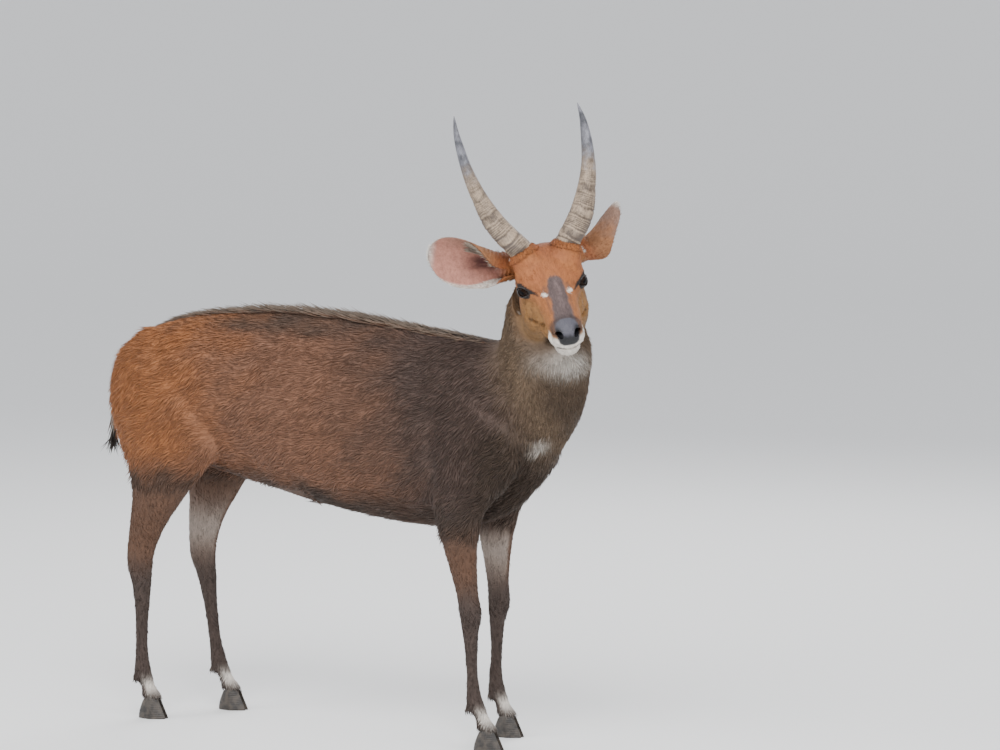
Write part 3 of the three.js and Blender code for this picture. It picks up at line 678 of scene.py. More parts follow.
def ear_frame(root, tip, face, places):
    """Centre, radius and the two wraps of the leaf at each place from root to tip."""
    along, opening, _ = ear_axes(root, tip, face)
    places = np.asarray(places, float)
    half = spaced(EAR_WIDTHS, places * (len(EAR_WIDTHS) - 1))[:, 0]
    wrap = np.radians(spaced(EAR_WRAPS, places * (len(EAR_WRAPS) - 1)))
    if root[1] > 0:
        half = half * (1 - (1 - LEFT_EAR_SHARE) * smooth_step(0, 0.25, places))
    radius = half / np.sin(np.minimum(wrap.mean(1), math.pi / 2))
    rise = radius - 20 + 8 * np.sin(math.pi * places)
    length = np.linalg.norm(tip - root)
    centre = root + np.outer(places * length, along) + rise[:, None] * opening
    centre[:, 2] -= EAR_SINK * np.sin(math.pi * np.clip(places, 0, 1)) ** 2
    return centre, radius, wrap


def ear_form(root, tip, face, rows=64, columns=40):
    _, opening, across = ear_axes(root, tip, face)
    across = across * (1 if across[2] > 0 else -1)
    places = np.linspace(0, 1, rows)
    rings = []
    for place, centre, radius, (front, hind) in zip(places, *ear_frame(root, tip, face, places)):
        turn = np.linspace(-hind, front, columns)
        fold = 0.7 * math.sin(place * 150) * smooth_step(0.5, 0.3, place)
        radius = radius + fold
        spread = np.outer(np.sin(turn), across) - np.outer(np.cos(turn), opening)
        thick = EAR_THICK * (1 - 0.45 * place)
        edge = 1 - np.linspace(-1, 1, columns) ** 8 * 0.35
        outer = centre + spread * radius
        inner = centre + spread * (radius - thick * edge)[:, None]
        rings.append(np.concatenate([outer, inner[::-1]]))
    return loft(np.array(rings))


for root, tip, face in EARS.values():
    way = unit(tip - root)
    heights = np.linspace(0, 1, 60)
    radii = spaced([[27], [30], [28.5], [25.5], [24], [22]], heights * 5)[:, 0]
    radii = radii + 0.8 * np.sin(heights * 62) * smooth_step(0.3, 0.5, heights)
    stalk = loft(turned_rings(root - way * 22, root + way * 46, radii, heights))
    combined(head, outward(new_object("stalk", *in_body(stalk))), "UNION")
    leaf = outward(new_object("leaf", *in_body(ear_form(root, tip, face))))
    combined(head, leaf, "UNION")


# One skin from nose to tail
# Above the throat the head's finer form lies outermost, and below it the body's, so that the two
# cross in one clean line, which is then evened out. The skin lies under the solids by its coat.
throat_middle = (THROAT_TOP + THROAT_LOW) / 2
neck_middle = (np.array([76, -38, 832]) + np.array([196, -30.4, 728])) / 2
neck_way = unit((INSIDE_TOP + INSIDE_LOW) / 2 - neck_middle)
throat_way = unit(neck_way + nose_way)
neck_root = np.array([83.0, -3, 646])
root_way = unit(np.array([0.887, 0, 0.46]))


def past_throat(points):
    return (points - throat_middle) @ throat_way


def head_share(points):
    return smooth_step(-14, 14, past_throat(points))


def neck_share(points):
    beyond = (points - neck_root) @ root_way
    return smooth_step(-50, 40, beyond) * (1 - head_share(points))


def leg_share(points):
    fore = points[:, 0] > -350
    return smooth_step(0, 1, (np.where(fore, 440, 500) - points[:, 2]) / 90)


def tuck(piece, sunk):
    points, normals = points_of(piece), normals_of(piece)
    set_points(piece, points - normals * (3.5 * sunk(points))[:, None])


tuck(skin, lambda p: smooth_step(-14, 10, past_throat(p)))
tuck(head, lambda p: smooth_step(14, -10, past_throat(p)))
combined(skin, head, "UNION")
eased(skin, 14, 0.5, lambda p: smooth_step(26, 14, np.abs(past_throat(p))))


def ear_places(points):
    """Share of the way along the nearer ear, or below nought off the ears."""
    local = to_head(points)
    found = np.full(len(points), -1.0)
    for root, tip, _ in EARS.values():
        along = unit(tip - root)
        share = (local - root) @ along / np.linalg.norm(tip - root)
        off = np.linalg.norm(local - root - np.outer((local - root) @ along, along), axis=1)
        near = (off < 120) & (share > 0.16) & (np.sign(local[:, 1]) == np.sign(root[1]))
        found = np.where(near, share, found)
    return found


def coat_depth(points):
    depth = 5.5 + 0 * points[:, 0]
    depth = depth + (4.0 - depth) * neck_share(points)
    depth = depth + (2.0 - depth) * leg_share(points)
    depth = depth + (1.0 - depth) * smooth_step(-20, 60, past_throat(points))
    depth *= smooth_step(45, 62, points[:, 2])
    return depth * (ear_places(points) < 0)


def sunk_by_coat(piece):
    points, normals = points_of(piece), normals_of(piece)
    set_points(piece, points - normals * coat_depth(points)[:, None])
    return piece


sunk_by_coat(skin)
for face in skin.data.polygons:
    face.use_smooth = True


# Markings of skin and coat
# The trunk is brown with a greyish cast at the shoulder and turns orange on the haunch. Neck and
# chest are dark olive, the head is orange with a slate blaze, and lips, chin and throat are white.
FOREHEAD = np.array([0.31, 0.11, 0.034])
CHEEK = np.array([0.24, 0.118, 0.037])
JOWL = np.array([0.175, 0.098, 0.04])
CROWN = np.array([0.23, 0.072, 0.025])
SLATE = np.array([0.09, 0.064, 0.062])
NOSE_PAD = np.array([0.028, 0.027, 0.034])
WHITE_HAIR = np.array([0.70, 0.66, 0.60])
EYE_RING = np.array([0.012, 0.008, 0.007])
NECK_OLIVE = np.array([0.125, 0.084, 0.052])
CHEST_DARK = np.array([0.042, 0.027, 0.018])
SHOULDER = np.array([0.066, 0.042, 0.033])
FLANK = np.array([0.19, 0.092, 0.054])
BACK = np.array([0.085, 0.052, 0.036])
HAUNCH = np.array([0.29, 0.112, 0.04])
BELLY = np.array([0.05, 0.034, 0.026])
LEG_BROWN = np.array([0.088, 0.044, 0.025])
SHANK = np.array([0.045, 0.03, 0.024])
EAR_PINK = np.array([0.40, 0.18, 0.135])
# Colour of the painted shadow deep in the hollow of the ear
EAR_PAINTED_SHADOW = np.array([0.05, 0.010, 0.008])
EAR_UPPER = np.array([0.20, 0.12, 0.085])
EAR_BACK = np.array([0.27, 0.12, 0.052])
EAR_TOP = np.array([0.24, 0.145, 0.105])


def ripple(points, size, seed):
    """Smooth waves of about one unit either way, with crests a given size apart."""
    draw = np.random.default_rng(seed)
    total = np.zeros(len(points))
    for _ in range(7):
        way = unit(draw.normal(size=3)) * 2 * math.pi / (size * draw.uniform(0.7, 1.5))
        total += np.sin(points @ way + draw.uniform(0, 6.28))
    return total / 2.6


def blot(local, centre, reach):
    off = (local - np.asarray(centre, float)) / np.asarray(reach, float)
    return np.exp(-((off**2).sum(1) ** 1.5))


def streak(local, start, end, thick_start, thick_end):
    """One along a line, and falling to nought past its thickness."""
    start, end = np.asarray(start, float), np.asarray(end, float)
    line = end - start
    share = np.clip((local - start) @ line / (line @ line), 0, 1)
    off = np.linalg.norm(local - start - share[:, None] * line, axis=1)
    return smooth_step(1.25, 0.65, off / (thick_start + (thick_end - thick_start) * share))


def painted(colours, colour, mask):
    return colours + (colour - colours) * np.clip(mask, 0, 1)[:, None]


def body_colours(points, normals):
    x, y, z = points.T
    blur = 12 * ripple(points, 60, 3)
    colours = np.tile(FLANK, (len(points), 1))
    colours = painted(colours, BACK, smooth_step(725, 768, z + blur * 0.6) * smooth_step(-720, -600, x))
    colours = painted(colours, SHOULDER, smooth_step(-330, -60, x + 2 * blur + 0.25 * (z - 600)))
    colours = painted(colours, HAUNCH, smooth_step(-400, -690, x + 3 * blur) * smooth_step(430, 540, z))
    colours = painted(colours, BELLY, smooth_step(500, 440, z + blur + 30 * smooth_step(-400, -150, x)))
    colours = painted(colours, CHEST_DARK, smooth_step(-20, 70, x + blur) * smooth_step(640, 560, z + blur))
    colours = painted(colours, NECK_OLIVE, neck_share(points))
    front = smooth_step(120, 160, x + 0.3 * (z - 640) + 0.5 * blur) * smooth_step(760, 640, z)
    colours = painted(colours, CHEST_DARK, 0.55 * front * smooth_step(520, 560, z))
    colours = painted(colours, LEG_BROWN, leg_share(points))
    low = smooth_step(330, 250, z + 0.5 * blur)
    colours = painted(colours, SHANK, low)
    return colours


def leg_patches(points, normals):
    """White above the hooves and on the inner faces of the upper legs."""
    z = points[:, 2]
    inner = smooth_step(0.1, 0.6, -normals[:, 1] * np.sign(points[:, 1]))
    band = np.exp(-(((z - 62) / 13) ** 2)) * smooth_step(-0.2, 0.4, normals[:, 0])
    return np.maximum(band * 0.85, inner * np.exp(-(((z - 350) / 45) ** 2)) * 0.3)


# Half width of the blaze along the nose, and the dark tear line of each eye with its thickness
BLAZE_PLACES = [22, 34, 50, 70, 90, 110, 128]
BLAZE_HALVES = [4, 13, 16, 15.5, 15.5, 17, 20]
TEAR_LINE = [(16, 49, 4), (24, 43.5, 4.5), (34, 38.5, 7), (44, 34.5, 9), (52, 30, 12)]
TEAR_THICK = [5.0, 4.4, 2.6, 1.7, 0.8]


def face_colours(points, normals):
    local = to_head(points)
    u, w, v = local.T
    side = np.abs(w)
    both = np.stack([u, side, v], -1)
    blur = ripple(points, 22, 5) * 1.5
    colours = np.tile(FOREHEAD, (len(points), 1))
    low = smooth_step(14, -26, v + blur) * smooth_step(-34, 10, u)
    colours = painted(colours, CHEEK, low)
    colours = painted(colours, JOWL, smooth_step(-40, -88, v + 2 * blur) * smooth_step(110, 70, u))
    colours = painted(colours, JOWL, 0.7 * smooth_step(4, -46, u + blur) * smooth_step(2, -30, v))
    colours = painted(colours, CROWN, smooth_step(-26, -64, u + 2 * blur) * smooth_step(-4, 22, v))
    patches = 0.5 + 0.5 * ripple(points, 34, 6)
    patches *= 0.45 * smooth_step(60, 10, u) * smooth_step(-10, 10, v)
    colours = painted(colours, CROWN * 1.25, patches)
    colours = painted(colours, CROWN, 0.7 * blot(local, (-30, 4, 46), (26, 22, 20)))
    behind = 0.612 * (u + 38) + 0.79 * (v + 112) + 1.5 * blur
    colours = painted(colours, NECK_OLIVE, smooth_step(3, -6, behind) * (v < -40))
    colours = painted(colours, NECK_OLIVE, smooth_step(-72, -92, u + blur) * (v < 10))
    colours = painted(colours, NECK_OLIVE * 1.2, smooth_step(-116, -132, v + blur))
    colours = painted(colours, NECK_OLIVE * 1.2, smooth_step(-84, -96, v + blur) * smooth_step(24, 44, u))
    half = np.interp(u, BLAZE_PLACES, BLAZE_HALVES)
    blaze = smooth_step(half + 2.5, half - 2.5, side + 0.8 * blur) * smooth_step(22, 30, u + 0.5 * blur)
    colours = painted(colours, SLATE, blaze * smooth_step(-6, 4, v))
    # Painted highlight: a paler patch on the blaze along the bridge of the nose, where light falls on it
    painted_highlight = blot(local, (48, 2, 26), (16, 5, 20)) + 0.6 * blot(local, (84, 2, 20), (24, 7, 20))
    colours = painted(colours, SLATE * 1.9, painted_highlight * (0.6 + 0.35 * ripple(points, 6, 8)))
    dusk = streak(both, (44, 22, 24), (104, 22, 10), 5, 4) * 0.35
    colours = painted(colours, SLATE * 0.7, dusk)
    spot = streak(both, (52, 28, 15), (64, 18, 19), 3.4, 3.4) + 0.35 * ripple(points, 5, 9)
    near = smooth_step(9, 7, np.linalg.norm(both - [58, 23, 17], axis=1)) ** 0.5
    colours = painted(colours, WHITE_HAIR, spot * near)
    # Painted shade: a dark line under the brow, from the front corner of the eye to the side of the blaze
    colours = painted(colours, CROWN * 0.6, streak(both, (30, 40, 14), (52, 24, 20), 4, 3) * 0.45)
    # Painted shadow below the eye
    colours = painted(colours, JOWL * 0.5, streak(both, (16, 55, -18), (34, 48, -16), 5, 3) * 0.4)
    for start, end, thick, next_thick in zip(TEAR_LINE, TEAR_LINE[1:], TEAR_THICK, TEAR_THICK[1:]):
        colours = painted(colours, EYE_RING, streak(both, start, end, thick, next_thick))
    forward, up, look = ((both - EYE_CENTRE) @ eye_axes(1).T).T
    ring = np.hypot((forward - 1.5) / 19.5, (up - 2.0) / np.where(up > 0, 12.2, 12.6))
    colours = painted(colours, EYE_RING, smooth_step(1.06, 0.96, ring) * (look > 0))
    rear = streak(np.stack([forward, up], -1), (-14, 0), (-25, 2), 4.5, 2.0)
    colours = painted(colours, EYE_RING, rear * (look > -8))
    colours = painted(colours, FOREHEAD * 1.35, blot(both, (-24, 54, 14), (10, 12, 5)) * 0.8)
    # Painted shade in the folds of the cheek, along the grooves pressed into the skin
    colours = painted(colours, JOWL * 0.4, 0.8 * streak(both, (30, 53, -47), (68, 31, -41), 2.6, 3.2))
    colours = painted(colours, JOWL * 0.4, 0.8 * streak(both, (68, 31, -41), (73, 31, -56), 3.2, 2.6))
    colours = painted(colours, WHITE_HAIR, streak(both, (-52, 59, -88), (-32, 57, -100), 2.6, 1.8) * 0.8)
    lips = smooth_step(123, 129, u - 0.33 * (v + 12) + 0.7 * blur) * smooth_step(-11, -17, v + 0.5 * blur)
    colours = painted(colours, WHITE_HAIR, lips)
    colours = painted(colours, WHITE_HAIR * 0.85, smooth_step(92, 108, u) * smooth_step(-42, -50, v))
    edge = smooth_step(116, 126, u) * smooth_step(34, 26, side) * smooth_step(-14, -8, v)
    colours = painted(colours, SLATE * 0.4, edge * 0.75)
    return painted(colours, SLATE * 0.3, streak(both, (160, 0, -35), (126, 30, -43), 2.6, 1.8) * 0.9)


def pad_share(points):
    """The bare wet skin of the nose."""
    u, w, v = to_head(points).T
    across = np.interp(v, [-26, -22, -14, -6, 0, 5, 9], [10, 17, 19.5, 21.5, 20.5, 16, 9])
    edge = smooth_step(across + 1.5, across - 1.5, np.abs(w))
    return smooth_step(126, 129, u + 0.1 * np.minimum(v, 0)) * smooth_step(-28, -25, v) * edge


def nostril_share(points):
    """The dark around and below the nostrils."""
    u, w, v = to_head(points).T
    both = np.stack([u, np.abs(w), v], -1)
    low = smooth_step(-3, -12, v + 1.5 * ripple(points, 9, 15))
    return np.maximum(low, blot(both, (147, 17, -6), (16, 8, 8)) * 1.4)


def throat_patch(points):
    """White bib high on the front of the neck, and a crescent at its foot."""
    x, y, z = points.T
    bib = np.exp(-((((y + 42) / 34) ** 2 + ((z - 715) / 26) ** 2)) ** 1.5)
    low = np.exp(-((((np.abs(y + 6) - 40) / 16) ** 2 + ((z - 560) / 13) ** 2)) ** 1.5)
    return smooth_step(90, 130, x) * np.maximum(bib * 0.8, low * 0.55)


def ear_inside(points, normals):
    """One on the hollow face of an ear, nought on its back."""
    local = to_head(points)
    places = np.clip(ear_places(points), 0, 1)
    share = np.zeros(len(points))
    for root, tip, face in EARS.values():
        along = unit(tip - root)
        centre, radius, _ = ear_frame(root, tip, face, places)
        off = local - centre
        off = np.linalg.norm(off - np.outer(off @ along, along), axis=1)
        here = np.sign(local[:, 1]) == np.sign(root[1])
        wall = radius - EAR_THICK * (1 - 0.45 * places) * 0.5
        share = np.where(here, smooth_step(0.4, -0.4, off - wall), share)
    return share


def ear_colours(points, normals):
    local = to_head(points)
    places = ear_places(points)
    inside = ear_inside(points, normals)
    colours = np.tile(EAR_BACK, (len(points), 1))
    colours = painted(colours, CROWN * 1.3, smooth_step(0.42, 0.2, places))
    colours = painted(colours, EAR_TOP, smooth_step(0.5, 0.8, places + 0.05 * ripple(points, 20, 16)))
    colours = painted(colours, EAR_PINK, inside)
    for root, tip, face in EARS.values():
        along, opening, across = ear_axes(root, tip, face)
        here = np.sign(local[:, 1]) == np.sign(root[1])
        off = (local - root) @ across
        half = spaced(EAR_WIDTHS, np.clip(places, 0, 1) * (len(EAR_WIDTHS) - 1))[:, 0]
        # Painted shadow deep in the hollow of the ear: a broad patch and a small lobe
        shadow = np.exp(-(((places - 0.40) / 0.2) ** 2 + ((off / half + 0.08) / 0.42) ** 2) ** 1.4)
        shadow_lobe = np.exp(-(((places - 0.50) / 0.10) ** 2 + ((off / half + 0.34) / 0.10) ** 2))
        colours = painted(colours, EAR_PAINTED_SHADOW, here * inside * np.maximum(shadow, shadow_lobe))
        upper = smooth_step(0.25, 0.7, off / half * np.sign(across[2])) * smooth_step(0.95, 0.6, places)
        colours = painted(colours, EAR_UPPER, here * inside * upper * 0.8)
        veins = smooth_step(0.25, 0.9, ripple(np.stack([places * 60, off, off], -1), 16, 17))
        colours = painted(colours, EAR_PINK * 0.72, here * inside * veins * 0.35)
        rim = here * smooth_step(0.9, 0.98, np.maximum(np.abs(off) / half, places))
        colours = painted(colours, WHITE_HAIR * 0.8, rim * 0.6)
    return colours


def coat_colours(points, normals):
    """Colour of skin and hair at each point, in linear light."""
    colours = body_colours(points, normals)
    colours = painted(colours, WHITE_HAIR, leg_patches(points, normals) * leg_share(points))
    on_head = head_share(points)
    colours = colours + (face_colours(points, normals) - colours) * on_head[:, None]
    colours = painted(colours, WHITE_HAIR * 0.75, throat_patch(points))
    ears = smooth_step(0.16, 0.3, ear_places(points))[:, None]
    colours = colours + (ear_colours(points, normals) - colours) * ears
    # The nose pad is painted paler on its top as a painted reflection of the sky, and dark below and round the
    # nostrils
    nose = painted(np.tile(NOSE_PAD * 2.3, (len(points), 1)), NOSE_PAD * 0.22, nostril_share(points))
    return painted(colours, nose, pad_share(points))


def coat_lie(points, normals):
    """Direction in which the hair points, along the skin."""
    x, y, z = points.T
    total = len(points)
    slope = smooth_step(0.2, 0.9, np.abs(normals[:, 1]))
    down = 0.12 + 0.3 * slope + 0.9 * smooth_step(-170, 40, x) + 0.7 * smooth_step(-560, -700, x)
    ways = np.stack([-np.ones(total), np.zeros(total), -down * (normals[:, 2] > -0.5)], -1)
    neck = -neck_way
    ways = ways + (neck - ways) * neck_share(points)[:, None]
    local = to_head(points)
    face = -nose_way - 0.45 * smooth_step(0, -40, local[:, 2])[:, None] * crown_way
    ways = ways + (face - ways) * head_share(points)[:, None]
    ways = ways + (np.array([0.12, 0, -1.0]) - ways) * leg_share(points)[:, None]
    places = ear_places(points)
    for root, tip, _ in EARS.values():
        here = (places > 0) & (np.sign(local[:, 1]) == np.sign(root[1]))
        ways[here] = unit(tip - root) @ HEAD_AXES
    swirl = 0.30 * ripple(points, 70, 11) + 0.16 * ripple(points, 26, 12)
    swirl *= 1 - 0.8 * head_share(points)
    ways = ways + np.cross(normals, ways) * swirl[:, None]
    ways = ways - normals * (ways * normals).sum(1)[:, None]
    return unit(ways)


def add_values(piece, name, values):
    kind = {1: "FLOAT", 3: "FLOAT_VECTOR", 4: "FLOAT_COLOR"}[values.shape[1] if values.ndim > 1 else 1]
    layer = piece.data.attributes.new(name, kind, "POINT")
    field = {"FLOAT": "value", "FLOAT_VECTOR": "vector", "FLOAT_COLOR": "color"}[kind]
    layer.data.foreach_set(field, np.asarray(values, np.float32).ravel())


def with_alpha(colours):
    return np.concatenate([colours, np.ones((len(colours), 1))], 1)


skin_points, skin_normals = points_of(skin), normals_of(skin)
add_values(skin, "tint", with_alpha(coat_colours(skin_points, skin_normals)))
add_values(skin, "bare", pad_share(skin_points))
# Places stretched along the lie, so that a pattern read from them runs in streaks with the hair
head_grain = to_head(skin_points) * [0.22, 1, 1]
neck_grain = skin_points - np.outer(skin_points @ neck_way, neck_way) * 0.8
leg_grain = skin_points * [1, 1, 0.2]
grain = skin_points * [0.22, 1, 1]
for share, other in ((neck_share, neck_grain), (leg_share, leg_grain), (head_share, head_grain)):
    picked = share(skin_points)[:, None] > 0.5
    grain = np.where(picked, other, grain)
add_values(skin, "grain", grain / 1000)


class Wire:
    """A shader socket that takes part in sums, with its nodes made as they are needed."""

    def __init__(self, tree, socket):
        self.tree = tree
        self.socket = socket

    def node(self, kind, settings=None, **inputs):
        made = self.tree.nodes.new(kind)
        for key, value in (settings or {}).items():
            setattr(made, key, value)
        for key, value in inputs.items():
            socket = made.inputs[int(key[1:])] if key[0] == "_" else made.inputs[key.replace("_", " ")]
            if isinstance(value, Wire):
                self.tree.links.new(value.socket, socket)
            else:
                socket.default_value = value
        return made

    def out(self, made, name=0):
        return Wire(self.tree, made.outputs[name])

    def maths(self, operation, *values):
        inputs = {f"_{i}": value for i, value in enumerate(values)}
        return self.out(self.node("ShaderNodeMath", {"operation": operation}, **inputs))

    def __add__(self, other):
        return self.maths("ADD", self, other)

    def __mul__(self, other):
        return self.maths("MULTIPLY", self, other)

    def __sub__(self, other):
        return self.maths("SUBTRACT", self, other)

    def __rsub__(self, other):
        return self.maths("SUBTRACT", other, self)

    __radd__ = __add__
    __rmul__ = __mul__

    def between(self, low, high):
        """Nought below low and one above high, smoothly."""
        made = self.node(
            "ShaderNodeMapRange",
            {"interpolation_type": "SMOOTHSTEP"},
            Value=self,
            From_Min=low,
            From_Max=high,
        )
        return self.out(made, "Result")

    def mixed(self, first, second):
        """Colour mixed from first to second by this value."""
        ends = [value if isinstance(value, Wire) else (*value, 1) for value in (first, second)]
        settings = {"data_type": "RGBA"}
        return self.out(self.node("ShaderNodeMix", settings, _0=self, _6=ends[0], _7=ends[1]), 2)

    def shaded(self, shade):
        """This colour multiplied by another."""
        settings = {"data_type": "RGBA", "blend_type": "MULTIPLY"}
        return self.out(self.node("ShaderNodeMix", settings, _0=1.0, _6=self, _7=shade), 2)


def new_material(name):
    """An empty material: its shader, and a wire to make nodes from."""
    material = bpy.data.materials.new(name)
    material.use_nodes = True
    tree = material.node_tree
    shader = tree.nodes["Principled BSDF"]
    place = tree.nodes.new("ShaderNodeTexCoord")
    return material, shader, Wire(tree, place.outputs["Object"])


def attribute(start, name, output="Color"):
    return start.out(start.node("ShaderNodeAttribute", {"attribute_name": name}), output)


def noise(start, vector, scale, detail=3.0, roughness=0.55):
    made = start.node("ShaderNodeTexNoise", Vector=vector, Scale=scale, Detail=detail, Roughness=roughness)
    return start.out(made, "Fac")


def link(start, value, shader, name):
    start.tree.links.new(value.socket, shader.inputs[name])


def bumped(start, height, strength, distance, shader):
    made = start.node("ShaderNodeBump", Height=height, Strength=strength, Distance=distance)
    link(start, start.out(made, "Normal"), shader, "Normal")


def skin_material():
    material, shader, start = new_material("skin_coat")
    tint = attribute(start, "tint")
    grain_at = attribute(start, "grain", "Vector")
    bare = attribute(start, "bare", "Fac")
    fine = noise(start, grain_at, 900, 2)
    coarse = noise(start, grain_at, 160, 3)
    shade = (fine * 0.55 + coarse * 0.6).between(0.25, 0.9)
    hair = shade.mixed((0.55, 0.52, 0.5), (1.25, 1.22, 1.2))
    furred = tint.shaded(hair)
    pebbles = start.node("ShaderNodeTexVoronoi", Vector=start, Scale=620.0)
    cells = start.out(pebbles, "Distance")
    link(start, bare.mixed(furred, tint), shader, "Base Color")
    link(start, 0.72 - bare * 0.38, shader, "Roughness")
    height = (fine * 0.5 + coarse * 0.5) * (1 - bare) + cells * bare * 0.6
    bumped(start, height, 0.7, 0.0012, shader)
    shader.inputs["Specular IOR Level"].default_value = 0.35
    return material


skin.data.materials.clear()
skin.data.materials.append(skin_material())
FLESH = ["torso", "neck", "head", "foreleg_right", "foreleg_left", "hindleg_right", "hindleg_left"]
FLESH += ["ear_right", "ear_left", "tail"]
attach(skin, "root")
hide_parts(*FLESH)


# Coat: tufts of short wavy hair
# Each tuft is a thin tapering wedge that lies along the body with its tip a little raised.
# The roots are spread evenly over the skin, and the tufts take the skin's markings.
def roots_on(piece, density, seed, keep):
    """Points spread evenly over the faces that keep picks, a number to each square centimetre."""
    mesh = piece.data
    mesh.calc_loop_triangles()
    corners = np.empty(len(mesh.loop_triangles) * 3, int)
    mesh.loop_triangles.foreach_get("vertices", corners)
    corners = corners.reshape(-1, 3)
    points, normals = points_of(piece), normals_of(piece)
    a, b, c = (points[corners[:, k]] for k in range(3))
    areas = np.linalg.norm(np.cross(b - a, c - a), axis=1) / 2
    middle = (a + b + c) / 3
    weight = areas / 100 * density(middle) * keep(middle)
    order = np.lexsort(np.floor(middle / 14).T)
    sums = np.cumsum(weight[order])
    draw = np.random.default_rng(seed)
    count = int(sums[-1])
    picks = np.searchsorted(sums, (np.arange(count) + draw.random(count)) * sums[-1] / count)
    picked = order[np.clip(picks, 0, len(order) - 1)]
    first, second = draw.random((2, count))
    fold = first + second > 1
    first, second = np.where(fold, 1 - first, first), np.where(fold, 1 - second, second)
    corner = corners[picked]
    shares = np.stack([1 - first - second, first, second], -1)[..., None]
    return (points[corner] * shares).sum(1), unit((normals[corner] * shares).sum(1))


def tuft_mesh(name, roots, normals, ways, sizes, colours, unwrap, seed, tip=None):
    """A piece of tufts. Sizes are length, width, thickness, lean, droop and depth of the root."""
    draw = np.random.default_rng(seed)
    count = len(roots)
    length, width, thick, lean, droop, sunk = (np.broadcast_to(s, count)[:, None] for s in sizes)
    length = length * draw.uniform(0.75, 1.2, (count, 1))
    width = width * draw.uniform(0.75, 1.25, (count, 1))
    lean = lean + draw.normal(0, 0.05, (count, 1))
    turn = draw.normal(0, 0.13, (count, 1))
    ways = unit(ways + np.cross(normals, ways) * turn)
    side = np.cross(normals, ways)
    bend = draw.normal(0, 0.10, (count, 1))
    layers = []
    for share, taper in ((0.0, 0.8), (0.45, 1.0)):
        along = ways * np.cos(lean) * share + side * bend * share**2
        rise = np.sin(lean) * share - droop * share**2
        centre = roots - normals * sunk + (along + normals * rise) * length
        layers += [
            centre + side * width * taper / 2,
            centre + normals * thick * taper,
            centre - side * width * taper / 2,
        ]
    along = ways * np.cos(lean) + side * bend
    layers.append(roots - normals * sunk + (along + normals * (np.sin(lean) - droop)) * length)
    points = np.stack(layers, 1).reshape(-1, 3)
    wall = [[0, 1, 4], [0, 4, 3], [1, 2, 5], [1, 5, 4], [2, 0, 3], [2, 3, 5]]
    pattern = np.array([[0, 2, 1], *wall, [3, 4, 6], [4, 5, 6], [5, 3, 6]])
    faces = (pattern[None] + 7 * np.arange(count)[:, None, None]).reshape(-1, 3)
    mesh = bpy.data.meshes.new(name)
    mesh.vertices.add(len(points))
    mesh.vertices.foreach_set("co", to_row(points).ravel())
    mesh.loops.add(faces.size)
    mesh.loops.foreach_set("vertex_index", faces.ravel())
    mesh.polygons.add(len(faces))
    mesh.polygons.foreach_set("loop_start", np.arange(0, faces.size, 3))
    mesh.polygons.foreach_set("use_smooth", np.ones(len(faces), bool))
    mesh.update(calc_edges=True)
    piece = bpy.data.objects.new(name, mesh)
    bpy.context.scene.collection.objects.link(piece)
    # Each tuft is darker at its root as painted shade down in the coat, and paler at its tip, partly painted
    # light and partly the hair's own paler tips
    shades = np.array([0.78, 0.78, 0.78, 0.97, 0.97, 0.97, 1.2])
    own = draw.normal(1, 0.1, (count, 1, 1))
    tints = colours[:, None] * shades[None, :, None] * own
    if tip is not None:
        tints[:, 6] = tip * own[:, 0]
    add_values(piece, "tint", with_alpha(np.clip(tints, 0, 1).reshape(-1, 3)))
    spread = np.array([[-1, -1], [0, -1], [1, -1], [-1, 0], [0, 0], [1, 0], [0, 1]]) * 0.0014
    low, high = unwrap.min(0), unwrap.max(0)
    middle = 0.005 + 0.99 * (unwrap - low) / (high - low)
    patches = (middle[:, None] + spread[None]).reshape(-1, 2)
    layer = mesh.uv_layers.new(name="OFBake")
    layer.data.foreach_set("uv", patches[faces.ravel()].astype(np.float32).ravel())
    return piece


def round_trunk(points):
    """Length along the animal, and the way round its trunk."""
    middle = 600 + 0 * points[:, 0]
    turn = np.arctan2(points[:, 2] - middle, np.abs(points[:, 1]) + 1)
    return np.stack([points[:, 0], turn * 110], -1)


def round_head(points):
    u, w, v = to_head(points).T
    return np.stack([u, np.arctan2(w, v + 20) * 45], -1)


def round_neck(points):
    off = points - neck_root
    forward = unit(np.cross([0, 1, 0], neck_way))
    return np.stack([points @ neck_way, np.arctan2(off[:, 1], off @ forward) * 70], -1)


def round_legs(points):
    number = 2 * (points[:, 0] > -350) + (points[:, 1] > 0)
    fore = points[:, 0] > -350
    centre_x = np.where(fore, -14, -680)
    turn = np.arctan2(points[:, 1] - 77 * np.sign(points[:, 1]), points[:, 0] - centre_x)
    return np.stack([number * 80 + turn * 11, points[:, 2]], -1)


def coat_material(name):
    material, shader, start = new_material(name)
    tint = attribute(start, "tint")
    drift = noise(start, start, 55, 2)
    hair = noise(start, start, 700, 2)
    tone = (drift * 0.6 + hair * 0.4).between(0.3, 0.7)
    shade = tone.mixed((0.82, 0.8, 0.78), (1.15, 1.15, 1.16))
    link(start, tint.shaded(shade), shader, "Base Color")
    shader.inputs["Roughness"].default_value = 0.62
    shader.inputs["Specular IOR Level"].default_value = 0.3
    return material


hair_material = coat_material("hair")


def dressed(piece):
    piece.data.materials.append(hair_material)
    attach(piece, "root")
    return piece


def on_trunk(points):
    apart = (head_share(points) < 0.5) & (neck_share(points) < 0.5) & (leg_share(points) < 0.5)
    return apart & (points[:, 0] > -800)


def clear_of_coat(points):
    """Leaves out the soles, the nose pad and the rims of the eyes."""
    local = to_head(points)
    both = np.stack([local[:, 0], np.abs(local[:, 1]), local[:, 2]], -1)
    eye_off = np.linalg.norm(both - EYE_CENTRE, axis=1)
    return (pad_share(points) < 0.3) & (eye_off > 20.5) & (points[:, 2] > 38)


TRUNK_MIDDLE = -400


